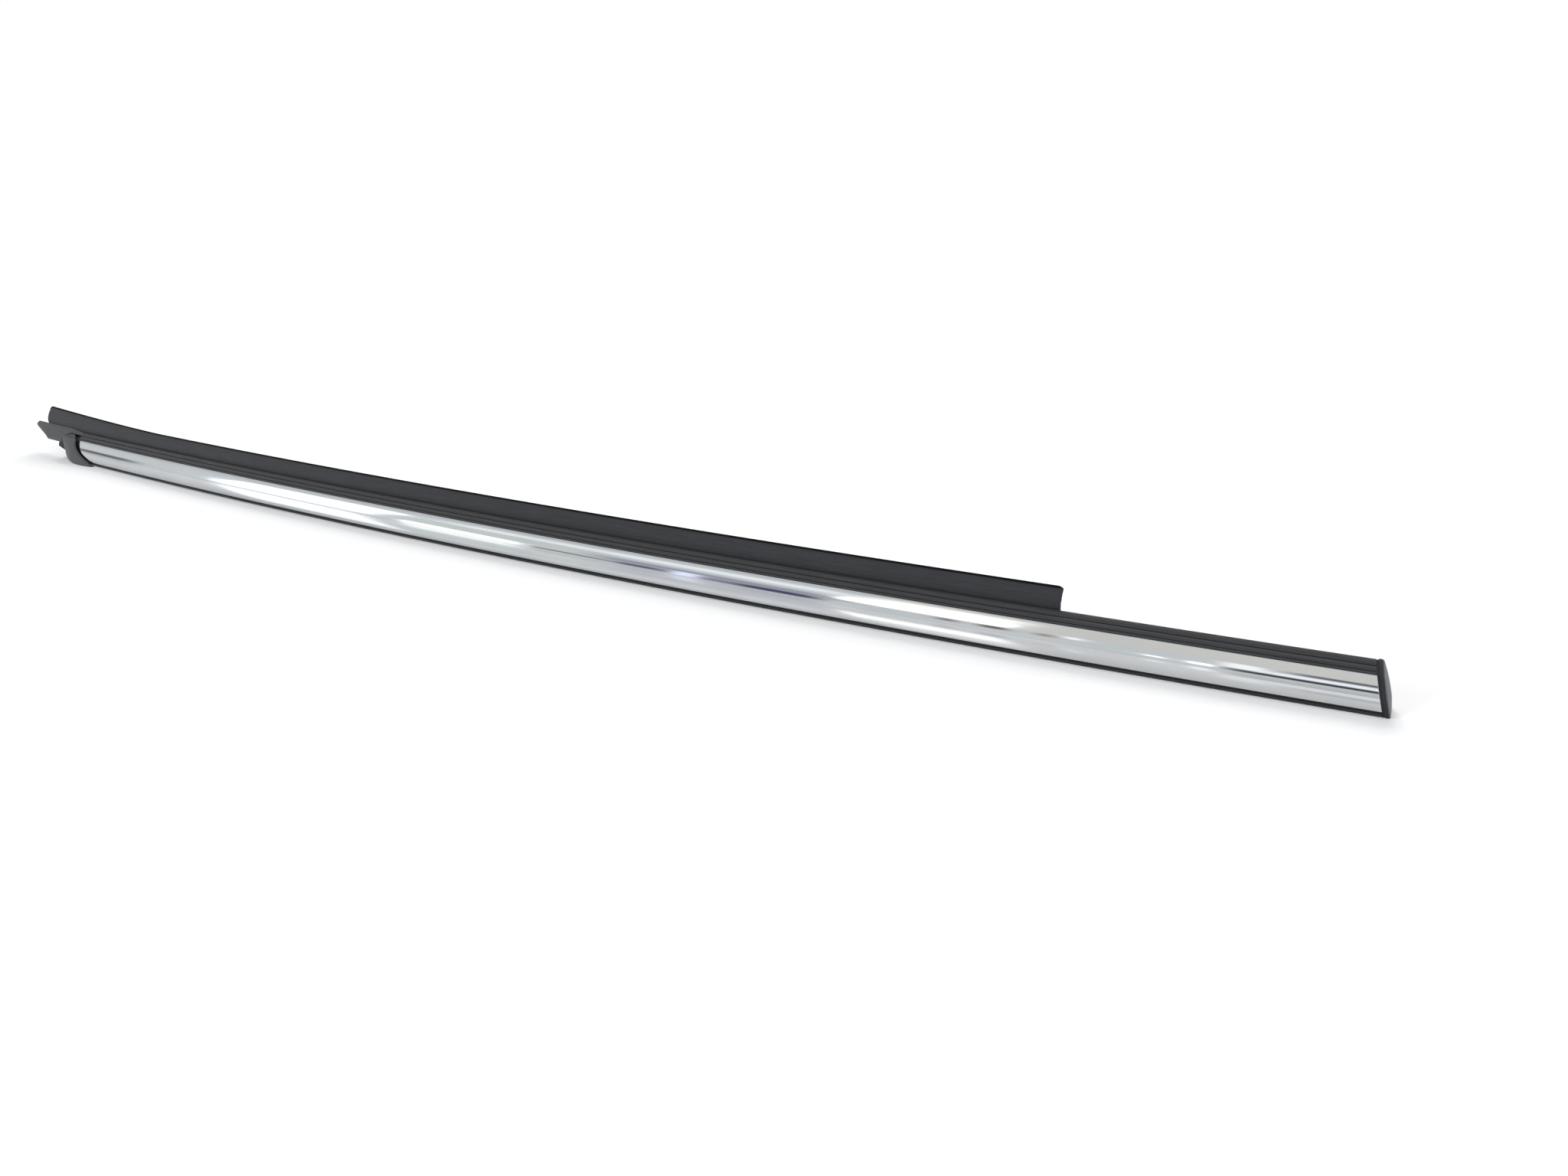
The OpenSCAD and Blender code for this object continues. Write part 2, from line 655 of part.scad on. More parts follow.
// Arc length of the collar's open edge at row k: on the face it runs forward beside the trim's
// rounding, on the band it runs back along the mouth
function collar_edge(k) =
    trim_rear - collar_gap + (collar_gap + trim_end_r + collar_toe) * pow(down(k), toe_power)
        - mouth_slant * pow(inboard(k), mouth_power);

// Arc length of the collar's rear edge at row k
function collar_back(k) =
    trim_rear - collar_w + (collar_w - collar_foot_w) * down(k)
        + collar_waist * pow(sin(180 * down(k)), 1.5) - collar_back_in * inboard(k);

// How far the collar stands proud of the section at row k, a share u of its width from the rear
function collar_proud(k, u) =
    let (rear = -collar_tuck - collar_tuck_face * sqrt(down(k)) - collar_sink * pow(down(k), 6),
         open = collar_rise + (collar_foot_rise - collar_rise) * down(k)
             - (collar_rise + mouth_scoop) * pow(inboard(k), scoop_power),
         belly = shoulder_belly * (1 - inboard(k)) + (collar_belly - shoulder_belly) * pow(down(k), 1.5)
             - mouth_dish * sin(180 * inboard(k)))
    rear + (open - rear) * u + belly * sin(180 * u);

// Grid point of the collar at row k and step i from rear edge to open edge
function collar_point(k, i, inward) =
    let (u = i / collar_steps, s = collar_back(k) * (1 - u) + collar_edge(k) * u,
         p = collar_line[k] + (collar_proud(k, u) - inward) * mitre(collar_line, k))
    bow_point(s, p.x, max(0, p.y));

// Hooded collar over the gap between the tail and the trim's rounded end
module collar() {
    grid = [for (inward = [0, collar_t]) [for (k = [0:len(collar_line) - 1])
        [for (i = [0:collar_steps]) collar_point(k, i, inward)]]];
    shell(grid[0], grid[1]);
}

// Plan of what the collar replaces in the tail blade, which keeps a strip beside the glass lip
module mouth_plan() {
    edge = collar_line[0].x - lip_sink;
    line = [for (k = [0:band_rows])
        [collar_back(k) - trim_rear + collar_lap, k == 0 ? edge : collar_line[k].x]];
    at_arc(trim_rear) linear_extrude(beyond)
        polygon(concat(line, [[last(line).x, -beyond], [tail_l, -beyond], [tail_l, edge]]));
}

// ---- Front end ----------------------------------------------------------------------------

// Outline of the whole section, which the front cap closes
cap_outline = concat([[bead_low, 0]], face_arc, [band_end + lap * band_in,
    [skin_face, web_corner.y + cap_rim / 2], [skin_face, 0]]);

module front_end_cap() {
    color("#3c3e42") union() {
        hull() {
            cap_slab(-cap_t, cap_t - cap_rim, 0);
            cap_slab(-cap_rim, cap_rim * cap_round[0], cap_rim * cap_round[1]);
            cap_slab(-lap, lap, cap_rim);
        }
        difference() {
            sweep(front_end - cap_t - spigot_l, front_end - cap_t - 1) polygon(plug_outline);
            rivet_hole();
        }
    }
}

// One slab of the front cap, leaning with the rake, with its outline drawn in by an inset
module cap_slab(x, thick, inset) {
    lean = tan(cap_rake);
    at_arc(front_end) multmatrix([[1, 0, -lean, x + cap_rim * lean], [0, 1, 0, 0], [0, 0, 1, 0]])
        rotate([90, 0, 90]) linear_extrude(thick) offset(delta = -inset) polygon(cap_outline);
}

module rivet_hole() {
    at_arc(rivet_s) translate([0, inner_face - rivet_grip, rivet_z]) rotate([-90, 0, 0])
        cylinder(h = beyond / 2, d = rivet_d);
}

module front_cap_rivet() {
    shank = channel_t + rivet_grip;
    color("#b0b3b6") at_arc(rivet_s) translate([0, leg_depth, rivet_z]) rotate([-90, 0, 0]) {
        translate([0, 0, -shank]) cylinder(h = shank, d = rivet_d);
        intersection() {
            cylinder(h = rivet_head_h, d = rivet_head_d);
            translate([0, 0, rivet_head_h - rivet_head_d]) sphere(r = rivet_head_d);
        }
    }
}

module foam_block(s0) {
    color("#26272a") sweep(s0, s0 + foam_l) polygon(plug_outline);
}

bright_trim();
carrier_channel();
ribbed_cover();
glass_lip();
glass_lip_flock();
lower_glass_lip();
lower_lip_flock();
skin_lip();
grip_fins();
rear_end_cap();
front_end_cap();
front_cap_rivet();
foam_block(rear_foam_s);  // rear_foam_block
foam_block(front_foam_s);  // front_foam_block
for (i = [1:clip_count])
    retaining_clip(i);
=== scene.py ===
"""Bowed outer belt-line moulding of a car's front door, dressed for the studio.

Every place on the strip is an arc length s along the bow, a depth d inboard of the skin lip's
outer edge and a height z, all in millimetres; Bow turns them into the row frame's metres.
"""

import sys

import logging
import math
from dataclasses import dataclass
from enum import Enum
from typing import Any, Callable, Optional, Sequence, Union

import bpy
import numpy as np
from mathutils import Matrix, Vector


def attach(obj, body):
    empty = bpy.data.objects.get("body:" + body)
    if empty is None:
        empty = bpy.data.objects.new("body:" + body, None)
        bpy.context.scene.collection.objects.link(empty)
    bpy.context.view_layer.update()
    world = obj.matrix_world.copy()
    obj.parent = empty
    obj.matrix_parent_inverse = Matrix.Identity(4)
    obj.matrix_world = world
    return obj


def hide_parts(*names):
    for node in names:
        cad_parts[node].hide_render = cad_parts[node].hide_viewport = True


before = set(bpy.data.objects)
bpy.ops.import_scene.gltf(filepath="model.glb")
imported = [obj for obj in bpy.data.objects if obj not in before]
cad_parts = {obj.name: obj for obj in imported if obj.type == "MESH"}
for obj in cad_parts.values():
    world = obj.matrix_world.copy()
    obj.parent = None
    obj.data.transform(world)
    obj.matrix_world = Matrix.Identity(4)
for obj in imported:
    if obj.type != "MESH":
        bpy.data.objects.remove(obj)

log = logging.getLogger("belt_moulding")
MM = 0.001
Array = np.ndarray
Triple = tuple[float, float, float]
Colour = Triple

# Rounding of outlines: the step between samples over the blur's radius, the least number of
# samples for each point wanted, the bell's deviation over the radius, and how strongly bends
# draw points where length draws them by 1
FINE_STEP = 0.25
FINE_LEAST = 4
BELL_SHARE = 0.5
BEND_PULL = 1.6

# Rounded ends of a carried section: the turns of its rows in degrees, and where the shading
# comes to rest, in rims
RIM_TURNS = (90.0, 60.0, 30.0, 0.0)
RIM_REST = 1.5

# Angles in degrees past which an edge is shaded sharp, on strips and on moulded ends
CREASE = 40.0
CREASE_MOULDED = 50.0


# ---- Plane curves ---------------------------------------------------------------------------


def unit(v: Array) -> Array:
    """Vectors v divided by their lengths."""
    return v / np.linalg.norm(v, axis=-1, keepdims=True)


def right_of(v: Array) -> Array:
    """Vectors v turned a quarter turn clockwise."""
    return np.stack([v[..., 1], -v[..., 0]], -1)


def arc(p: Array, q: Array, belly: float, steps: int) -> Array:
    """Circular arc from p to q that bellies out to its left.

    The radius is c*c / 8h + h/2 for a chord c and a belly h, and the points are the centre plus
    the radius turned from one end's angle to the other's in even steps.

    Args:
        p: First point.
        q: Last point.
        belly: Height of the arc over its chord; below 0 it bellies to the right.
        steps: Number of segments.

    Returns:
        The arc's points, one a row.
    """
    chord = float(np.linalg.norm(q - p))
    radius = chord * chord / (8 * belly) + belly / 2
    along = (q - p) / chord
    out = -right_of(along)
    centre = (p + q) / 2 + (belly - radius) * out
    half = math.asin(chord / 2 / radius)
    turn = np.linspace(-half, half, steps + 1)[:, None]
    return centre + radius * (np.cos(turn) * out + np.sin(turn) * along)


def set_off(path: Array, start: float, end: float) -> Array:
    """The path set off to its right.

    Each corner moves along the sum of the two neighbouring normals over 1 plus their product,
    so that the segments stay parallel.

    Args:
        path: Points of an open path.
        start: Distance at its first point.
        end: Distance at its last point, reached evenly.

    Returns:
        The new path, one point for each old one.
    """
    normal = right_of(unit(np.diff(path, axis=0)))
    before = np.vstack([normal[:1], normal])
    after = np.vstack([normal, normal[-1:]])
    mitre = (before + after) / (1 + np.sum(before * after, axis=1, keepdims=True))
    return path + np.linspace(start, end, len(path))[:, None] * mitre


def fallen(share: Array) -> Array:
    """How far a quarter circle of radius 1 has fallen at a share of its width from its top."""
    return 1 - np.sqrt(1 - share * share)


def sheet(path: Array, thick: float) -> Array:
    """Closed outline between a path and the same path set off to its right."""
    return np.vstack([path, set_off(path, thick, thick)[::-1]])


def lengths(path: Array) -> Array:
    """Length along the path at each of its points."""
    return np.concatenate([[0.0], np.cumsum(np.linalg.norm(np.diff(path, axis=0), axis=1))])


def along_path(path: Array, at: Array) -> Array:
    """Points of the path at the given lengths along it."""
    run = lengths(path)
    return np.stack([np.interp(at, run, path[:, k]) for k in range(path.shape[1])], -1)


def eased(values: Array, width: int) -> Array:
    """Values blurred along their row by a bell, so that their ends stay in place.

    Args:
        values: Values at even steps.
        width: Odd number of values under the bell.

    Returns:
        As many blurred values.
    """
    bell = np.hanning(width + 2)[1:-1]
    padded = np.pad(values, width // 2, mode="reflect", reflect_type="odd")
    return np.convolve(padded, bell / bell.sum(), "valid")


def softened(outline: Array, radius: float, count: int) -> Array:
    """A closed outline with its corners rounded, as few points as its bends need.

    The outline is sampled evenly, blurred round the loop with a bell curve of that radius, and
    sampled again with points spread evenly over length plus turning.

    Args:
        outline: Corners of the closed outline, one a row.
        radius: Width of the bell curve in millimetres.
        count: Number of points wanted.

    Returns:
        The rounded outline, one point a row.
    """
    loop = np.vstack([outline, outline[:1]])
    total = lengths(loop)[-1]
    fine = max(int(total / (radius * FINE_STEP)), FINE_LEAST * count)
    even = along_path(loop, np.linspace(0, total, fine, endpoint=False))
    step = total / fine
    reach = np.fft.fftfreq(fine, d=step)
    bell = np.exp(-2 * (math.pi * radius * BELL_SHARE * reach) ** 2)[:, None]
    even = np.real(np.fft.ifft(np.fft.fft(even, axis=0) * bell, axis=0))
    edge = np.roll(even, -1, 0) - even
    heading = np.unwrap(np.arctan2(edge[:, 1], edge[:, 0]))
    whole = np.sign(heading[-1] - heading[0]) * 2 * math.pi
    turning = np.abs(np.diff(np.append(heading, heading[0] + whole)))
    weight = np.linalg.norm(edge, axis=1) / total + BEND_PULL * turning / turning.sum()
    gone = np.concatenate([[0.0], np.cumsum(weight)])
    wanted = np.linspace(0, gone[-1], count, endpoint=False)
    closed = np.vstack([even, even[:1]])
    return np.stack([np.interp(wanted, gone, closed[:, k]) for k in range(2)], -1)


# ---- Meshes ---------------------------------------------------------------------------------


@dataclass(frozen=True)
class Bow:
    """The plan curve that the strip follows."""

    radius: float = 6474.0

    def place(self, s: Array, d: Array, z: Array) -> Array:
        """Points in metres: x is (R - d) sin(s/R), y is R - (R - d) cos(s/R), z is z.

        Args:
            s: Arc lengths along the bow.
            d: Depths inboard.
            z: Heights.

        Returns:
            The points, with x, y and z along the last axis.
        """
        s, d, z = np.broadcast_arrays(s, d, z)
        turn = s / self.radius
        reach = self.radius - d
        return np.stack([reach * np.sin(turn), self.radius - reach * np.cos(turn), z], -1) * MM


BOW = Bow()


@dataclass
class Tube:
    """A closed solid of rings: rows of points round it, joined row to row and capped.

    Attributes:
        rings: Array of rows, points round each row, and (s, d, z) in millimetres.
    """

    rings: Array

    def data(self) -> tuple[Array, list[Array], Array]:
        """Works out the tube's mesh.

        Each face joins point i and i + 1 of row k to the same points of row k + 1. A cap is one
        face round a whole row. The pattern's map is (s, length round the ring).

        Returns:
            Points in metres, lists of faces as corner numbers, and the map of every corner.
        """
        rows, cols = self.rings.shape[:2]
        points = BOW.place(*np.moveaxis(self.rings, -1, 0)).reshape(-1, 3)
        index = np.arange(rows * cols).reshape(rows, cols)
        k, i = np.meshgrid(np.arange(rows - 1), np.arange(cols), indexing="ij")
        j = (i + 1) % cols
        quads = np.stack([index[k, i], index[k + 1, i], index[k + 1, j], index[k, j]], -1)
        quads = quads.reshape(-1, 4)
        around = self.rings[..., 1:]
        step = np.linalg.norm(np.roll(around, -1, 1) - around, axis=-1)
        girth = np.concatenate([np.zeros((rows, 1)), np.cumsum(step, axis=1)], axis=1)
        s = self.rings[..., 0]
        turns = ((k, i), (k + 1, i), (k + 1, i + 1), (k, i + 1))
        side = np.stack([np.stack([s[a, b % cols], girth[a, b]], -1) for a, b in turns], 2)
        side = side.reshape(-1, 2)
        faces: list[Array] = [quads, index[0], index[-1][::-1]]
        charts: list[Array] = [side, self.rings[0][:, 1:], self.rings[-1][::-1, 1:]]
        if signed_volume(points, quads) < 0:
            faces = [quads[:, ::-1], *(cap[::-1] for cap in faces[1:])]
            side = side.reshape(-1, 4, 2)[:, ::-1].reshape(-1, 2)
            charts = [side, *(cap[::-1] for cap in charts[1:])]
        return points, faces, np.vstack(charts)


def ringed(s: Array, section: Array) -> Tube:
    """The solid whose rings have arc lengths s and points (d, z)."""
    return Tube(np.concatenate([s[..., None], section], -1))


def signed_volume(points: Array, quads: Array) -> float:
    """About six times the volume that a closed mesh holds.

    It is the sum of a . (b x c) + a . (c x d) over its faces a b c d, seen from the middle of
    the points.

    Args:
        points: Points of the mesh.
        quads: Corner numbers of its four-sided faces.

    Returns:
        The sum, below 0 where the faces point inwards.
    """
    centre = points.mean(0)
    a, b, c, d = (points[quads[:, n]] - centre for n in range(4))
    return float(np.sum(a * np.cross(b, c)) + np.sum(a * np.cross(c, d)))


def make_piece(name: str, tubes: Sequence[Tube], node: str,
               crease: float) -> bpy.types.Object:
    """Puts tubes into one mesh object that rides on the strip and stands for a CAD node.

    Args:
        name: The piece's name.
        tubes: Closed solids that make the piece.
        node: CAD node that it stands for.
        crease: Angle in degrees past which an edge is shaded sharp.

    Returns:
        The new object.
    """
    points: list[Array] = []
    corners: list[Array] = []
    sizes: list[Array] = []
    charts: list[Array] = []
    base = 0
    for tube in tubes:
        vertices, faces, chart = tube.data()
        points.append(vertices)
        quads, *caps = faces
        corners += [(quads + base).ravel(), *(cap + base for cap in caps)]
        sizes += [np.full(len(quads), 4), np.array([len(cap) for cap in caps])]
        charts.append(chart)
        base += len(vertices)
    size = np.concatenate(sizes)
    loops = np.concatenate(corners)
    mesh = bpy.data.meshes.new(name)
    mesh.vertices.add(base)
    mesh.vertices.foreach_set("co", np.concatenate(points).astype(np.float32).ravel())
    mesh.loops.add(len(loops))
    mesh.loops.foreach_set("vertex_index", loops.astype(np.int32))
    mesh.polygons.add(len(size))
    starts = np.concatenate([[0], np.cumsum(size)[:-1]])
    mesh.polygons.foreach_set("loop_start", starts.astype(np.int32))
    mesh.update(calc_edges=True)
    chart_layer = mesh.uv_layers.new(name="along")
    chart_layer.data.foreach_set("uv", np.concatenate(charts).astype(np.float32).ravel())
    mesh.validate()
    mesh.shade_smooth()
    mesh.set_sharp_from_angle(angle=math.radians(crease))
    piece = bpy.data.objects.new(name, mesh)
    bpy.context.scene.collection.objects.link(piece)
    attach(piece, "root")
    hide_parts(node)
    log.info("%s: %d points, %d faces", name, base, len(size))
    return piece


def inward_of(outline: Array) -> Array:
    """Unit steps into a closed outline, square to the mean of its two neighbouring edges.

    Args:
        outline: Corners of the closed outline, one a row.

    Returns:
        One step for each corner.
    """
    ahead = unit(np.roll(outline, -1, 0) - outline)
    normal = right_of(unit(ahead + np.roll(ahead, 1, 0)))
    x, y = outline.T
    area = float(np.sum(x * np.roll(y, -1) - np.roll(x, -1) * y))
    return -normal if area > 0 else normal


def run_along(outline: Array, start: Union[float, Array], end: Union[float, Array],
              steps: int, rim: float = 0.0) -> Tube:
    """A section carried along the strip, with ends that may be cut on a curve.

    The rows lie at even shares between the two ends. A rounded end has four rows, for the turns
    a of 90, 60, 30 and 0 degrees: each is held back by rim (1 - sin a), and its section is
    drawn in by rim (1 - cos a). One more row a little further in keeps the shading of the
    rounding off the rest.

    Args:
        outline: Closed section, (d, z) a row.
        start: Arc length of the rear end, one number or one for each point of the outline.
        end: Arc length of the front end, likewise.
        steps: Number of segments between the ends.
        rim: Rounding of the two ends' edges.

    Returns:
        The solid.
    """
    begin = np.broadcast_to(start, (len(outline),))
    finish = np.broadcast_to(end, (len(outline),))
    turn = np.radians(RIM_TURNS if rim else RIM_TURNS[:1])[:, None]
    held = rim * (1 - np.sin(turn))
    drawn = (rim * (1 - np.cos(turn)))[..., None] * inward_of(outline)
    rest = RIM_REST * rim
    if rim:
        held = np.concatenate([held, [[rest]]])
        drawn = np.concatenate([drawn, drawn[-1:]])
    share = np.linspace(0, 1, steps + 1)[1:-1, None]
    middle = (begin + rest) * (1 - share) + (finish - rest) * share
    s = np.concatenate([begin + held, middle, (finish - held)[::-1]])
    rounded = outline + drawn
    plain = np.broadcast_to(outline, (len(middle), *outline.shape))
    return ringed(s, np.concatenate([rounded, plain, rounded[::-1]]))


# ---- The strip's section --------------------------------------------------------------------


@dataclass(frozen=True)
class Section:
    """Sizes of the strip's section in millimetres, as in the CAD model, and its anchor points."""

    face_chord: float = 15.0
    face_lean: float = 12.5
    face_crown: float = 1.3
    face_foot: float = 2.9
    face_stand: float = 0.6
    trim_t: float = 0.6
    hem_w: float = 2.1
    flange_w: float = 2.6
    seat_gap: float = 0.3
    channel_t: float = 1.5
    leg_depth: float = 12.6
    skin_t: float = 0.8
    band_slope: float = 26.5
    rib_widths: tuple[float, ...] = (1.8, 3.3, 3.8)
    rib_h: float = 0.5

    @property
    def face_low(self) -> Array:
        """Lower edge of the bright face."""
        return np.array([-self.face_stand, self.face_foot])

    @property
    def face_top(self) -> Array:
        """Upper edge of the bright face."""
        lean = math.radians(self.face_lean)
        return self.face_low + self.face_chord * np.array([math.sin(lean), math.cos(lean)])

    @property
    def hem_end(self) -> Array:
        """Inboard end of the bright sheet's hem."""
        return self.face_low + [self.hem_w, 0]

    @property
    def flange_end(self) -> Array:
        """Inboard end of the bright sheet's upper return."""
        return self.face_top + [self.flange_w, 0]

    def face(self, steps: int = 48) -> Array:
        """The crowned face from its lower to its upper edge."""
        return arc(self.face_low, self.face_top, self.face_crown, steps)

    def trim_path(self, steps: int = 48) -> Array:
        """The bright sheet's outer side: hem, face and upper return."""
        return np.vstack([self.hem_end, self.face(steps), self.flange_end])

    @property
    def slope(self) -> float:
        """Slope of the ribbed band in radians."""
        return math.radians(self.band_slope)

    @property
    def band_dir(self) -> Array:
        """Direction of the ribbed band, rising inboard."""
        return np.array([math.cos(self.slope), math.sin(self.slope)])

    @property
    def band_in(self) -> Array:
        """Direction down into the cover, square to the ribbed band."""
        return right_of(self.band_dir)

    @property
    def rib_edges(self) -> Array:
        """Where the ribs start and end: the face's top plus the summed widths along the band."""
        widths = np.concatenate([[0.0], np.cumsum(self.rib_widths)])
        return self.face_top + widths[:, None] * self.band_dir

    @property
    def cover_t(self) -> float:
        """Thickness of the cover over the channel's web."""
        drop = self.flange_w * math.tan(self.slope) + self.trim_t + self.seat_gap
        return drop * math.cos(self.slope)

    @property
    def seat_end(self) -> Array:
        """Inboard end of the trim's seat, where the channel's web starts."""
        return self.flange_end - [0, self.trim_t + self.seat_gap]

    @property
    def web_corner(self) -> Array:
        """Inboard corner of the channel."""
        run = (self.leg_depth - self.seat_end[0]) / math.cos(self.slope)
        return self.seat_end + run * self.band_dir

    @property
    def skin(self) -> float:
        """Depth of the soft skin's glass side."""
        return self.leg_depth + self.skin_t

    def up_band(self, d: Array) -> Array:
        """Share of the way up the ribs at a depth: 0 at the bright face, 1 at the glass lip."""
        return (d - self.face_top[0]) / (self.rib_edges[-1][0] - self.face_top[0])


SECTION = Section()


@dataclass(frozen=True)
class Stations:
    """Arc lengths of the strip's ends and breaks, as in the CAD model."""

    rear_end: float = -508.5
    front_end: float = 508.5
    trim_rear: float = -427.3
    lip_rear: float = -494.5
    lip_front: float = 367.0
    channel_rear: float = -460.5
    cover_rear: float = -428.8
    cap_t: float = 3.0
    cap_rake: float = 15.0
    cap_rim: float = 1.2

    @property
    def lip_l(self) -> float:
        """Length of the tall glass lip."""
        return self.lip_front - self.lip_rear

    @property
    def lean(self) -> float:
        """Tangent of the front cut's rake."""
        return math.tan(math.radians(self.cap_rake))

    def raked(self, z: Array, back: Union[float, Array]) -> Array:
        """Arc length of a raked cut at height z, so far back from the front end: it leans back
        by the rake's tangent times the height over the rim."""
        return self.front_end - back - (z - self.cap_rim) * self.lean

    def at_cap(self, outline: Array) -> Array:
        """Arc length where each point of a section meets the front cap."""
        return self.raked(outline[:, 1], self.cap_t)


STATIONS = Stations()


# ---- Shader maths ---------------------------------------------------------------------------


def operator(operation: str, swapped: bool = False) -> Callable[..., "Sock"]:
    """Makes a method of Sock that adds a Math node.

    Args:
        operation: The node's operation.
        swapped: True for a reflected form, where self comes second.

    Returns:
        The method.
    """
    def method(self: "Sock", other: Any = 0.0) -> "Sock":
        """The operation on self and other."""
        first, second = (other, self) if swapped else (self, other)
        return self.tree.node("ShaderNodeMath", {"operation": operation}, {0: first, 1: second})
    return method


class Sock:
    """A node's output, on which Python's operators add Math nodes."""

    def __init__(self, tree: "Tree", socket: Optional[bpy.types.NodeSocket]) -> None:
        """Wraps a socket of a tree."""
        self.tree = tree
        self.socket = socket

    __add__, __radd__ = operator("ADD"), operator("ADD", swapped=True)
    __sub__, __rsub__ = operator("SUBTRACT"), operator("SUBTRACT", swapped=True)
    __mul__, __rmul__ = operator("MULTIPLY"), operator("MULTIPLY", swapped=True)
    __abs__ = operator("ABSOLUTE")
    larger = operator("MAXIMUM")

    def over(self, low: float, high: float) -> "Sock":
        """Share of the way from low to high, smoothly, 0 below and 1 above."""
        return self.tree.node("ShaderNodeMapRange", {"interpolation_type": "SMOOTHSTEP"},
                              {"Value": self, "From Min": low, "From Max": high})


class Tree:
    """The nodes of a material or a world, made from their type, settings and sockets."""

    def __init__(self, owner: Union[bpy.types.Material, bpy.types.World]) -> None:
        """Empties the owner's nodes."""
        owner.use_nodes = True
        self.owner = owner
        self.nodes = owner.node_tree.nodes
        self.links = owner.node_tree.links
        self.nodes.clear()

    @classmethod
    def of_material(cls, name: str) -> "Tree":
        """The empty nodes of a new material."""
        return cls(bpy.data.materials.new(name))

    def feed(self, socket: bpy.types.NodeSocket, value: Any) -> None:
        """Links a Sock to a socket, or sets its value.

        Args:
            socket: The input.
            value: A Sock, a number, or a triple, which gets an alpha of 1 where it is a colour.
        """
        if isinstance(value, Sock):
            self.links.new(value.socket, socket)
        elif socket.type == "RGBA" and len(value) == 3:
            socket.default_value = (*value, 1.0)
        else:
            socket.default_value = value

    def node(self, kind: str, settings: Optional[dict[str, Any]] = None,
             sockets: Optional[dict[Union[str, int], Any]] = None,
             out: Union[int, str, None] = 0) -> Sock:
        """Adds a node.

        Args:
            kind: The node's type.
            settings: Its properties, set first.
            sockets: Values or Socks by input name or number.
            out: Name or number of the output wanted, None for a node that has none.

        Returns:
            That output.
        """
        made = self.nodes.new(kind)
        for key, value in (settings or {}).items():
            setattr(made, key, value)
        for key, value in (sockets or {}).items():
            self.feed(made.inputs[key], value)
        return Sock(self, None if out is None else made.outputs[out])

    def object_coordinates(self) -> Sock:
        """Object coordinates in metres."""
        return self.node("ShaderNodeTexCoord", out="Object")

    def scaled(self, at: Sock, scale: Sequence[float]) -> Sock:
        """Coordinates times a scale for each direction."""
        return self.node("ShaderNodeMapping", {}, {"Vector": at, "Scale": tuple(scale)})

    def place(self, scale: Triple = (1.0, 1.0, 1.0)) -> Sock:
        """Object coordinates in millimetres, times a scale for each direction."""
        return self.scaled(self.object_coordinates(), [1000 * k for k in scale])

    def chart(self, scale: Triple = (1.0, 1.0, 1.0)) -> Sock:
        """The map along the strip and round the section in millimetres, times a scale."""
        return self.scaled(self.node("ShaderNodeUVMap", {"uv_map": "along"}), scale)

    def axis(self, at: Sock, name: str) -> Sock:
        """One coordinate: X, Y or Z."""
        return self.node("ShaderNodeSeparateXYZ", {}, {0: at}, out=name)

    def noise(self, at: Sock, scale: float = 1.0, detail: float = 2.0, rough: float = 0.5) -> Sock:
        """Noise whose blots are about one over the scale across."""
        return self.node("ShaderNodeTexNoise", {}, {"Vector": at, "Scale": scale,
                                                    "Detail": detail, "Roughness": rough})

    def blend(self, share: Any, first: Any, second: Any) -> Sock:
        """Colour between first and second."""
        return self.node("ShaderNodeMix", {"data_type": "RGBA"}, {0: share, 6: first, 7: second},
                         out=2)

    def bump(self, height: Sock, distance: float, strength: float = 1.0,
             after: Optional[Sock] = None) -> Sock:
        """Bumped normal.

        Args:
            height: Height from 0 to 1.
            distance: What a height of 1 is in metres.
            strength: Share of the bump that shows.
            after: Normal that is bumped already.

        Returns:
            The normal.
        """
        base = {} if after is None else {"Normal": after}
        return self.node("ShaderNodeBump", {}, {"Height": height, "Distance": distance,
                                                "Strength": strength, **base}, out="Normal")

    def ray(self, kind: str) -> Sock:
        """1 for rays of a kind, such as Camera."""
        return self.node("ShaderNodeLightPath", out=f"Is {kind} Ray")

    def seen(self) -> Sock:
        """1 for the rays that show things: camera, glossy and transmission rays."""
        return self.ray("Camera").larger(self.ray("Glossy")).larger(self.ray("Transmission"))

    def surface(self, sockets: dict[Union[str, int], Any]) -> bpy.types.Material:
        """Ends the material in a Principled shader with those sockets."""
        return self.output(self.node("ShaderNodeBsdfPrincipled", {}, sockets))

    def output(self, shader: Sock) -> Union[bpy.types.Material, bpy.types.World]:
        """Ends the tree in a shader and hands back its owner."""
        kind = "World" if isinstance(self.owner, bpy.types.World) else "Material"
        self.node(f"ShaderNodeOutput{kind}", {}, {"Surface": shader}, out=None)
        return self.owner


def shaded(colour: Colour, factor: float) -> Colour:
    """The colour times a factor."""
    return tuple(factor * part for part in colour)  # type: ignore[return-value]


# ---- Finishes -------------------------------------------------------------------------------

DUST: Colour = (0.2, 0.2, 0.205)
LINT: Colour = (0.1, 0.1, 0.1)
STAIN: Colour = (0.3, 0.27, 0.2)


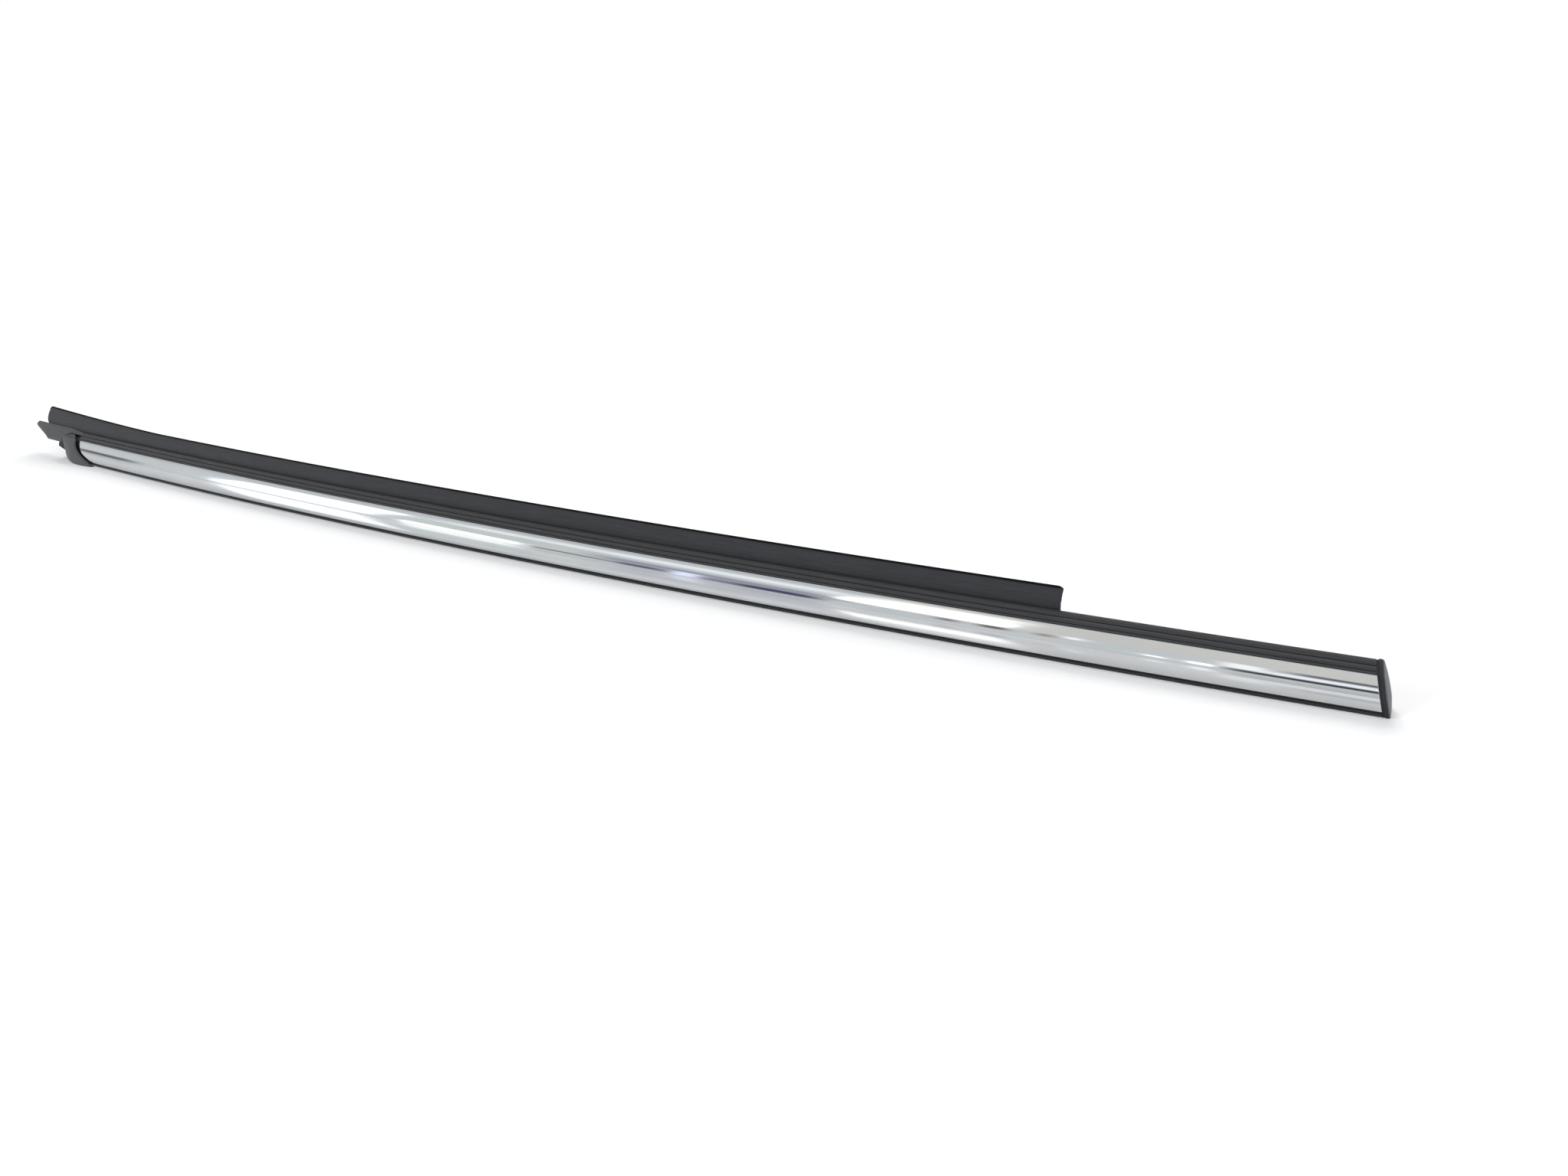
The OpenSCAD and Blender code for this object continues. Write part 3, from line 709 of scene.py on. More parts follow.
@dataclass(frozen=True)
class ExtrudedRubber:
    """Matte extruded rubber: fine grain, faint drawing lines along the strip, paler dust.

    Attributes:
        name: The material's name.
        colour: Linear colour.
        rough: Roughness.
        grain: Depth of the grain in millimetres.
        lines: Strength of the drawing lines.
        dust: Share of dust in its specks.
        charted: True where the piece has a map along the strip.
    """

    name: str
    colour: Colour
    rough: float = 0.55
    grain: float = 0.02
    lines: float = 0.5
    dust: float = 0.25
    charted: bool = True

    def make(self) -> bpy.types.Material:
        """Builds the material."""
        t = Tree.of_material(self.name)
        at = t.place()
        fine = t.noise(at, 3.2, 3.0)
        broad = t.noise(at, 0.05, 2.0)
        drawn = t.noise(t.chart((0.02, 2.6, 1.0)) if self.charted else t.place((0.02, 2.6, 2.6)))
        specks = t.noise(at, 0.9, 4.0, 0.7).over(0.66, 0.8)
        streak = (t.noise(t.chart((0.045, 1.1, 1.0)), detail=4.0, rough=0.65) if self.charted
                  else broad)
        tone = (fine * 0.3 + drawn * 0.35 * self.lines + streak * 0.5).over(0.28, 0.72)
        base = t.blend(tone, shaded(self.colour, 0.68), shaded(self.colour, 1.36))
        base = t.blend(specks * self.dust, base, DUST)
        rough = self.rough + 0.12 * (drawn - 0.5) + 0.08 * (broad - 0.5)
        normal = t.bump(fine * 0.6 + drawn * self.lines, self.grain * MM, 0.8)
        return t.surface({"Base Color": base, "Roughness": rough, "Normal": normal,
                          "Specular IOR Level": 0.28})


@dataclass(frozen=True)
class MouldedRubber:
    """Smoother moulded rubber: spark-eroded grain, pale specks, a painted highlight at the end.

    Attributes:
        name: The material's name.
        colour: Linear colour.
        rough: Roughness.
        grain: Depth of the grain in millimetres.
        gloss: The shader's specular level.
        face: How much paler the strip's outermost end is painted, as a factor: a painted
            highlight for the light that the end catches; 1 leaves it alone. The mask is the arc
            length plus (height - rim) times the rake's tangent.
        highlight_from, highlight_to: How far short of the front end the painted highlight
            starts and is full.
    """

    name: str
    colour: Colour
    rough: float = 0.48
    grain: float = 0.015
    gloss: float = 0.5
    face: float = 1.0
    highlight_from: float = 0.7
    highlight_to: float = 0.1

    def make(self) -> bpy.types.Material:
        """Builds the material."""
        t = Tree.of_material(self.name)
        at = t.place()
        fine = t.noise(at, 4.5, 2.0)
        broad = t.noise(at, 0.12, 3.0)
        cells = t.node("ShaderNodeTexVoronoi", {"feature": "SMOOTH_F1"},
                       {"Vector": at, "Scale": 3.0})
        base = t.blend(broad.over(0.3, 0.75), shaded(self.colour, 0.85), shaded(self.colour, 1.15))
        base = t.blend(fine.over(0.6, 0.8) * 0.2, base, shaded(self.colour, 1.9))
        # Painted highlight: the outermost end is made face times paler, for the light that it
        # catches.
        if self.face != 1.0:
            ahead = t.axis(t.chart(), "X") + (t.axis(at, "Z") - STATIONS.cap_rim) * STATIONS.lean
            end = STATIONS.front_end
            outer = ahead.over(end - self.highlight_from, end - self.highlight_to)
            base = t.blend(outer * (0.7 + 0.5 * broad), base, shaded(self.colour, self.face))
        rough = self.rough + 0.16 * (broad - 0.5) + 0.06 * (fine - 0.5)
        normal = t.bump(cells * 0.6 + fine * 0.4, self.grain * MM, 0.7)
        return t.surface({"Base Color": base, "Roughness": rough, "Normal": normal,
                          "Specular IOR Level": self.gloss})


@dataclass(frozen=True)
class Flock:
    """Short upright fibres: near black, very matte, with a velvety edge and brushed patches."""

    name: str
    colour: Colour

    def make(self) -> bpy.types.Material:
        """Builds the material."""
        t = Tree.of_material(self.name)
        at = t.place()
        fibres = t.noise(at, 9.0, 3.0, 0.75)
        brushed = t.noise(t.place((0.06, 0.4, 0.4)))
        lint = t.noise(at, 1.4, 3.0, 0.7).over(0.7, 0.82)
        base = t.blend((fibres * 0.7 + brushed * 0.5).over(0.35, 0.85), shaded(self.colour, 0.6),
                       shaded(self.colour, 1.7))
        base = t.blend(lint * 0.15, base, LINT)
        normal = t.bump(fibres, 0.12 * MM, 0.9)
        return t.surface({"Base Color": base, "Roughness": 0.95, "Normal": normal,
                          "Specular IOR Level": 0.1, "Sheen Weight": 0.06, "Sheen Roughness": 0.4})


@dataclass(frozen=True)
class BrightMetal:
    """Mirror-polished bright sheet: faint rolling lines, hair scratches and a few dull patches.

    Attributes:
        name: The material's name.
        colour: Linear reflectance.
        rough: Roughness of the clean mirror.
        waves: Height of the sheet's slow unevenness in millimetres.
    """

    name: str
    colour: Colour
    rough: float = 0.06
    waves: float = 0.02

    def make(self) -> bpy.types.Material:
        """Builds the material."""
        t = Tree.of_material(self.name)
        rolled = t.noise(t.chart((0.004, 1.8, 1.0)), detail=3.0)
        hair = t.noise(t.chart((0.12, 14.0, 1.0)), rough=0.7).over(0.68, 0.78)
        patches = t.noise(t.place(), 0.03, 3.0)
        slow = t.noise(t.chart((0.01, 0.12, 1.0)), detail=1.0)
        base = t.blend(patches.over(0.35, 0.8), self.colour, shaded(self.colour, 0.94))
        rough = self.rough + 0.05 * patches.over(0.5, 0.8) + 0.08 * hair + 0.03 * (rolled - 0.5)
        normal = t.bump(slow, self.waves * MM)
        normal = t.bump(rolled * 0.6 + hair * 0.4, 0.0012 * MM, 0.5, after=normal)
        return t.surface({"Base Color": base, "Metallic": 1.0, "Roughness": rough,
                          "Normal": normal})


@dataclass(frozen=True)
class SpringSteel:
    """Zinc-plated sheet steel: mottled plating, rolling lines and duller blotches."""

    name: str
    colour: Colour
    rough: float = 0.34

    def make(self) -> bpy.types.Material:
        """Builds the material."""
        t = Tree.of_material(self.name)
        at = t.place()
        spangle = t.node("ShaderNodeTexVoronoi", {}, {"Vector": at, "Scale": 1.1}, out="Color")
        grey = t.node("ShaderNodeSeparateColor", {}, {0: spangle})
        lines = t.noise(t.place((0.4, 5.0, 0.4)), detail=3.0)
        blots = t.noise(at, 0.35, 3.0)
        base = t.blend(grey * 0.4 + blots * 0.6, shaded(self.colour, 0.8),
                       shaded(self.colour, 1.15))
        base = t.blend(blots.over(0.62, 0.75) * 0.3, base, STAIN)
        rough = self.rough + 0.15 * (blots - 0.5) + 0.1 * (lines - 0.5)
        normal = t.bump(lines, 0.01 * MM, 0.5)
        return t.surface({"Base Color": base, "Metallic": 1.0, "Roughness": rough,
                          "Normal": normal})


@dataclass(frozen=True)
class Foam:
    """Closed-cell foam: small pits in a dark matte skin."""

    name: str
    colour: Colour

    def make(self) -> bpy.types.Material:
        """Builds the material."""
        t = Tree.of_material(self.name)
        at = t.place()
        cells = t.node("ShaderNodeTexVoronoi", {}, {"Vector": at, "Scale": 1.8})
        fine = t.noise(at, 3.0, 3.0)
        base = t.blend(cells.over(0.1, 0.6), shaded(self.colour, 0.5), shaded(self.colour, 1.4))
        normal = t.bump(cells * 0.8 + fine * 0.3, 0.25 * MM, 0.9)
        return t.surface({"Base Color": base, "Roughness": 0.85 + 0.1 * (fine - 0.5),
                          "Normal": normal, "Specular IOR Level": 0.2})


Finish = Union[ExtrudedRubber, MouldedRubber, Flock, BrightMetal, SpringSteel, Foam]


class Slot(Enum):
    """The record's material slots, each with its finish."""

    BRIGHT_TRIM = "bright_trim"
    CHANNEL = "channel"
    RIBBED_COVER = "ribbed_cover"
    LIP_RUBBER = "lip_rubber"
    FLOCK = "flock"
    SKIN_LIP = "skin_lip"
    FINS = "fins"
    END_CAP = "end_cap"
    FRONT_CAP = "front_cap"
    RIVET = "rivet"
    FOAM = "foam"
    CLIP = "clip"


FINISHES: dict[Slot, Finish] = {
    Slot.BRIGHT_TRIM: BrightMetal("bright_sheet", (0.555, 0.57, 0.585)),
    Slot.CHANNEL: MouldedRubber("channel_plastic", (0.0095, 0.0098, 0.0105), rough=0.5,
                                grain=0.02, gloss=0.15),
    Slot.RIBBED_COVER: ExtrudedRubber("ribbed_rubber", (0.036, 0.0365, 0.039)),
    Slot.LIP_RUBBER: ExtrudedRubber("lip_rubber", (0.028, 0.0295, 0.033), rough=0.6),
    Slot.FLOCK: Flock("black_flock", (0.0035, 0.0036, 0.004)),
    Slot.SKIN_LIP: ExtrudedRubber("skin_lip_rubber", (0.025, 0.026, 0.029), rough=0.5),
    Slot.FINS: ExtrudedRubber("fin_rubber", (0.03, 0.031, 0.034), rough=0.5, charted=False),
    Slot.END_CAP: MouldedRubber("tail_rubber", (0.045, 0.046, 0.05), rough=0.52, gloss=0.4),
    # The cap's outermost end is painted nine times paler: a painted highlight for the light it
    # catches.
    Slot.FRONT_CAP: MouldedRubber("cap_plastic", (0.015, 0.0155, 0.018), gloss=0.35, face=9.0),
    Slot.RIVET: SpringSteel("rivet_metal", (0.62, 0.63, 0.64), rough=0.28),
    Slot.FOAM: Foam("black_foam", (0.03, 0.03, 0.032)),
    Slot.CLIP: SpringSteel("clip_steel", (0.45, 0.45, 0.46)),
}


class Wardrobe:
    """Makes each finish once and hands it out."""

    def __init__(self) -> None:
        """Starts with no material made."""
        self.made: dict[Slot, bpy.types.Material] = {}

    def dress(self, piece: bpy.types.Object, slot: Slot) -> None:
        """Gives a piece the finish of a slot on all its faces."""
        if slot not in self.made:
            self.made[slot] = FINISHES[slot].make()
        piece.data.materials.clear()
        piece.data.materials.append(self.made[slot])

    def add(self, name: str, tube: Union[Tube, Sequence[Tube]], node: str, slot: Slot,
            crease: float = CREASE) -> None:
        """Makes a piece and dresses it.

        Args:
            name: The piece's name.
            tube: The closed solid that it is, or several.
            node: CAD node that it stands for.
            slot: Its material slot.
            crease: Angle in degrees past which an edge is shaded sharp.
        """
        tubes = [tube] if isinstance(tube, Tube) else tube
        self.dress(make_piece(name, tubes, node, crease), slot)


# ---- Sub-assemblies -------------------------------------------------------------------------


@dataclass
class BrightTrim:
    """The mirror-bright sheet: a hem under the channel, the crowned face and an upper return.

    Attributes:
        end_r: Radius of the rounded rear end.
        lap: How far that circle dips below the face's foot.
        edge: Bend radius of the sheet's corners.
    """

    end_r: float = 18.5
    lap: float = 0.05
    edge: float = 0.3
    rim: float = 0.12
    rows: int = 220

    def outline(self) -> Array:
        """Closed section of the bent sheet."""
        return softened(sheet(SECTION.trim_path(), SECTION.trim_t), self.edge, 128)

    def rear(self, z: Array) -> Array:
        """Arc length of the rounded end: the radius less the circle's half width at height z."""
        drop = SECTION.face_foot + self.end_r - self.lap - z
        half = np.sqrt(np.maximum(0.0, self.end_r ** 2 - drop ** 2))
        return STATIONS.trim_rear + self.end_r - half

    def build(self, wardrobe: Wardrobe) -> None:
        """Builds and dresses the trim."""
        outline = self.outline()
        tube = run_along(outline, self.rear(outline[:, 1]), STATIONS.at_cap(outline), self.rows,
                         self.rim)
        wardrobe.add("bright_sheet", tube, "bright_trim", Slot.BRIGHT_TRIM)


@dataclass
class RibbedCover:
    """The soft cover with its three ribs over the channel's web.

    Attributes:
        slant: How far the rear end slants back from the trim to the glass lip.
        notch_w, notch: Width and depth of the notches between ribs.
        edge: How far the first rib starts below the bright sheet's edge.
        blur: Rounding of the section's corners.
    """

    slant: float = 7.2
    notch_w: float = 0.55
    notch: float = 0.9
    edge: float = 0.1
    blur: float = 0.12
    rim: float = 0.15
    rows: int = 160

    def outline(self) -> Array:
        """Closed section: a low arc over each rib, a narrow notch between two of them, the foot
        and the seat over the channel."""
        edges, band_in = SECTION.rib_edges, SECTION.band_in
        half = self.notch_w / 2 * SECTION.band_dir
        last_rib = len(edges) - 2
        lines: list[Array] = [edges[:1]]
        for k in range(len(edges) - 1):
            first = edges[k] + half + (0 if k else self.edge * band_in)
            last = edges[k + 1] - (half if k < last_rib else 0)
            lines.append(arc(first, last, SECTION.rib_h, 12))
            if k < last_rib:
                lines.append(edges[k + 1] + self.notch * band_in)
        foot = edges[-1] + SECTION.cover_t * band_in
        return softened(np.vstack([*lines, foot, SECTION.seat_end, SECTION.flange_end]),
                        self.blur, 220)

    def build(self, wardrobe: Wardrobe) -> None:
        """Builds and dresses the cover, whose rear end runs back in step with the depth."""
        outline = self.outline()
        rear = STATIONS.cover_rear - self.slant * SECTION.up_band(outline[:, 0])
        tube = run_along(outline, rear, STATIONS.at_cap(outline), self.rows, self.rim)
        wardrobe.add("ribbed_band", tube, "ribbed_cover", Slot.RIBBED_COVER)


@dataclass
class UpperLip:
    """The tall glass lip with its foot round the channel, and the flock on its glass side.

    Attributes:
        rise, reach: How far the tip lies above and inboard of the root.
        inset, sink: Where the root lies beside the ribs' edge.
        wrap: How far the foot wraps down the inner leg.
        flare, flare_l: How much taller the rear end is, and over what length.
        end_r, end_l: Height and length of the rear end's rounding.
        nose_r, nose_l: Rounding of the front end's upper corner, and where it fades out.
        valley: Depth of the line between the ribs and the lip.
        flock_wrap, flock_held: How far the flock laps over the tip and stops short of the end.
        rows: Rows of the rear rounding, the flare, the even stretch and the nose.
    """

    root_t: float = 1.7
    tip_t: float = 1.0
    rise: float = 10.0
    reach: float = 4.2
    belly: float = 1.6
    inset: float = 0.7
    sink: float = 0.3
    wrap: float = 4.5
    flare: float = 4.6
    flare_l: float = 165.0
    flare_power: float = 1.3
    end_r: float = 3.9
    end_l: float = 6.2
    nose_r: float = 1.8
    nose_l: float = 4.0
    valley: float = 1.2
    flock_t: float = 0.35
    flock_wrap: float = 0.8
    flock_held: float = 0.4
    rows: tuple[int, int, int, int] = (26, 50, 90, 10)
    steps: int = 45

    @property
    def root(self) -> Array:
        """Outboard corner of the lip's root."""
        return SECTION.rib_edges[-1] + [self.inset, -self.sink]

    @property
    def tip(self) -> Array:
        """Outboard corner of the lip's tip."""
        return self.root + [self.reach, self.rise]

    def sides(self) -> tuple[Array, Array]:
        """The lip's outboard and inboard sides from root to tip."""
        side = arc(self.root, self.tip, self.belly, self.steps)
        return side, set_off(side, self.root_t, self.tip_t)

    def outline(self) -> Array:
        """Closed section: up the outboard side from the foot, down the inboard side to it."""
        side, back = self.sides()
        edge, band_in, corner = SECTION.rib_edges[-1], SECTION.band_in, SECTION.web_corner
        foot_z = corner[1] - self.wrap
        return softened(np.vstack([
            [SECTION.leg_depth, foot_z], corner, edge + SECTION.cover_t * band_in,
            edge + self.valley * band_in, side, back[::-1], [SECTION.skin, corner[1]],
            [SECTION.skin, foot_z]]), 0.3, 150)

    def flock_outline(self) -> Array:
        """Closed section of the flock: the upper two thirds of the glass side and over the tip."""
        side, back = self.sides()
        over = self.tip + self.flock_wrap * unit(side[-2] - self.tip)
        path = np.vstack([back[self.steps // 3:], self.tip, over])
        return softened(sheet(path, self.flock_t), 0.12, 110)

    def carried(self, outline: Array, held: float = 0.0) -> Tube:
        """Carries a section along the lip.

        The height above the root grows by flare (1 - share)^power over the rear stretch, and
        near the rear end it is less by radius (1 - sqrt(1 - h^2)), where h is the share of the
        rounding's length still to go. Points a share h of the radius below the root's rounding
        are held back by radius (1 - sqrt(1 - h^2)), which fades out over two lengths. The front
        end's corner is held back likewise.

        Args:
            outline: Closed section, (d, z) a row.
            held: How far short of the lip's rear end it starts.

        Returns:
            The solid.
        """
        total, r = STATIONS.lip_l, self.end_r
        rounded, flared, even, nosed = self.rows
        turn = np.radians(np.linspace(0, 90, rounded))
        s = np.concatenate([self.end_l * (1 - np.cos(turn))[:-1],
                            np.linspace(self.end_l, self.flare_l, flared)[:-1],
                            np.linspace(self.flare_l, total - self.nose_l, even)[:-1],
                            np.linspace(-self.nose_l, 0, nosed) + total])[:, None]
        s = held + s * (total - held) / total
        d, z = outline.T[:, None, :]
        growth = self.flare * np.maximum(0.0, 1 - s / self.flare_l) ** self.flare_power
        growth = growth - r * fallen(np.clip(1 - s / self.end_l, 0, 1))
        z = z + growth * np.clip((z - self.root[1]) / self.rise, 0, 1)
        low = np.clip((self.root[1] + r - z) / r, 0, 1)
        back = r * fallen(low) * np.maximum(0.0, 1 - s / (2 * self.end_l))
        nose = np.clip(z - (self.tip[1] - self.nose_r), 0, self.nose_r) / self.nose_r
        short = self.nose_r * fallen(nose) * np.maximum(0.0, 1 - (total - s) / self.nose_l)
        place = STATIONS.lip_rear + s + back - short
        return Tube(np.stack(np.broadcast_arrays(place, d, z), -1))

    def build(self, wardrobe: Wardrobe) -> None:
        """Builds and dresses the lip and its flock."""
        wardrobe.add("upper_lip", self.carried(self.outline()), "glass_lip", Slot.LIP_RUBBER)
        wardrobe.add("upper_lip_flock", self.carried(self.flock_outline(), self.flock_held),
                     "glass_lip_flock", Slot.FLOCK)


@dataclass
class LowerLip:
    """The low glass lip on the inner leg, with its bonded skin and its flock.

    Attributes:
        rise, reach: How far the tip lies above the root and inboard of the leg.
        neck, head, skirt: How far the skin starts above the root, stops below the tip, and
            reaches below the root.
        rear, front: How far it stops short of the channel's rear end and of the front end.
    """

    root_z: float = 8.2
    rise: float = 6.6
    reach: float = 4.2
    root_t: float = 1.3
    tip_t: float = 1.0
    hollow: float = 1.2
    neck: float = 2.4
    head: float = 1.0
    skirt: float = 1.2
    flock_t: float = 0.35
    rear: float = 2.0
    front: float = 30.0
    rim: float = 0.15
    rows: int = 140
    steps: int = 36

    def side(self) -> Array:
        """The glass side from root to tip, hollow between them."""
        root = np.array([SECTION.skin, self.root_z])
        tip = np.array([SECTION.leg_depth + self.reach, self.root_z + self.rise])
        return arc(root, tip, -self.hollow, self.steps)

    def outline(self) -> Array:
        """Closed section of the lip and its skin."""
        side, skin, leg = self.side(), SECTION.skin, SECTION.leg_depth
        back = set_off(side, -self.root_t, -self.tip_t)
        top, low = self.root_z + self.rise - self.head, self.root_z - self.skirt
        rest = [[skin, self.root_z + self.neck], [skin, top], [leg, top], [leg, low], [skin, low]]
        return softened(np.vstack([side, back[:0:-1], rest]), 0.22, 96)

    def build(self, wardrobe: Wardrobe) -> None:
        """Builds and dresses the lip, and the flock on the outer two thirds of its side."""
        ends = STATIONS.channel_rear + self.rear, STATIONS.front_end - self.front
        flock = softened(sheet(self.side()[self.steps // 3:], self.flock_t), 0.12, 72)
        wardrobe.add("lower_lip", run_along(self.outline(), *ends, self.rows, self.rim),
                     "lower_glass_lip", Slot.LIP_RUBBER)
        wardrobe.add("lower_lip_pile", run_along(flock, *ends, self.rows), "lower_lip_flock",
                     Slot.FLOCK)


@dataclass
class SkinLip:
    """The soft lip along the bottom, which rests on the door's skin.

    Attributes:
        low, high: Depths of the outboard bead's foot and top.
        lift, tuck: Height of the bead's foot, and depth where the sole under it starts.
        gap, lap: How far the bead stops below the bright face, and how deep that gap is.
        sole_w, sole_edge, sole_rise: Depth where the sole ends, and the slope behind it.
        cover, turn: How far the lip covers the channel's foot, and turns up inside it.
        rear: How far it starts behind the foot of the bright sheet's rounded end.
    """

    bead: float = 0.4
    low: float = 0.3
    high: float = 0.2
    lift: float = 0.7
    tuck: float = 1.0
    gap: float = 1.25
    lap: float = 0.7
    sole_w: float = 1.7
    sole_edge: float = 0.4
    sole_rise: float = 0.6
    cover: float = 1.2
    turn: float = 0.5
    rear: float = 2.0
    rim: float = 0.15
    rows: int = 160

    def outline(self) -> Array:
        """Closed section: the bead outboard, the trim's hem and channel's foot above, the sole."""
        depth = SECTION.trim_t + SECTION.seat_gap
        seat = set_off(SECTION.trim_path(10), depth, depth)[1:]
        channel = np.vstack([seat, SECTION.web_corner])
        inside = set_off(channel, SECTION.channel_t, SECTION.channel_t)
        leg, inner = inside[0], inside[2]
        foot, thick, hem = SECTION.face_foot, SECTION.trim_t, SECTION.hem_end
        top = foot - self.gap
        bead = arc(np.array([self.low, self.lift]), np.array([self.high, top]), self.bead, 14)
        rest = [[self.lap, top], [self.lap, foot], hem, hem + [0, thick], [leg[0], foot + thick],
                leg, inner, inner + [self.turn, 0], [leg[0] + self.cover, leg[1]],
                [self.sole_w + self.sole_edge, self.sole_rise], [self.sole_w, 0], [self.tuck, 0]]
        return softened(np.vstack([bead, rest]), 0.12, 200)

    def build(self, wardrobe: Wardrobe) -> None:
        """Builds and dresses the lip."""
        outline = self.outline()
        start = STATIONS.trim_rear + BrightTrim.end_r - self.rear
        tube = run_along(outline, start, STATIONS.at_cap(outline), self.rows, self.rim)
        wardrobe.add("bottom_lip", tube, "skin_lip", Slot.SKIN_LIP)


@dataclass
class FrontEnd:
    """The moulded front cap: a neck beside the strip, a rounded rim and a domed outer face.

    Attributes:
        lap: How far its upper edge lies below the ribs' edge.
        neck, neck_l, step: How much slimmer the neck is, its length, and where it widens.
        corner, drawn: Rounding of its outline, and how far the rim is drawn in.
    """

    foot_d: float = 0.3
    lap: float = 0.05
    neck: float = 0.45
    neck_l: float = 0.8
    step: float = 0.1
    corner: float = 1.1
    drawn: float = 0.8
    dome: float = 1.15
    rim_rows: int = 10
    dome_rows: int = 15

    def outline(self) -> Array:
        """Closed section that covers the whole strip's section."""
        top = [SECTION.skin, SECTION.web_corner[1] + STATIONS.cap_rim / 2]
        return softened(np.vstack([
            [self.foot_d, 0.0], SECTION.face(), SECTION.rib_edges[-1] + self.lap * SECTION.band_in,
            top, [SECTION.skin, 0.0]]), self.corner, 180)

    def cap(self) -> Tube:
        """Rings from the inner face out: a neck beside the strip, the flank, then the rim.

        For turns a from 0 to 90 degrees, the rim's ring lies rim (1 - sin a) behind the outer
        face and is drawn in by drawn (1 - cos a). Then rings a share q of that size, about their
        middle, stand dome (1 - q^2) proud. Every ring leans with the rake.
        """
        outline, rim = self.outline(), STATIONS.cap_rim
        turn = np.radians(np.linspace(0, 90, self.rim_rows))
        neck = STATIONS.cap_t - self.neck_l
        behind = np.concatenate([[STATIONS.cap_t, neck, neck - self.step],
                                 rim * (1 - np.sin(turn))])
        drawn = np.concatenate([[self.neck, self.neck, 0.0], self.drawn * (1 - np.cos(turn))])
        ring = outline + drawn[:, None, None] * inward_of(outline)
        q = np.linspace(1, 0, self.dome_rows)[1:-1]
        middle = ring[-1].mean(0)
        ring = np.concatenate([ring, middle + q[:, None, None] * (ring[-1] - middle)])
        behind = np.concatenate([behind, -self.dome * (1 - q * q)])
        return ringed(STATIONS.raked(ring[..., 1], behind[:, None]), ring)

    def build(self, wardrobe: Wardrobe) -> None:
        """Builds and dresses the cap."""
        wardrobe.add("front_cap", self.cap(), "front_end_cap", Slot.FRONT_CAP, CREASE_MOULDED)


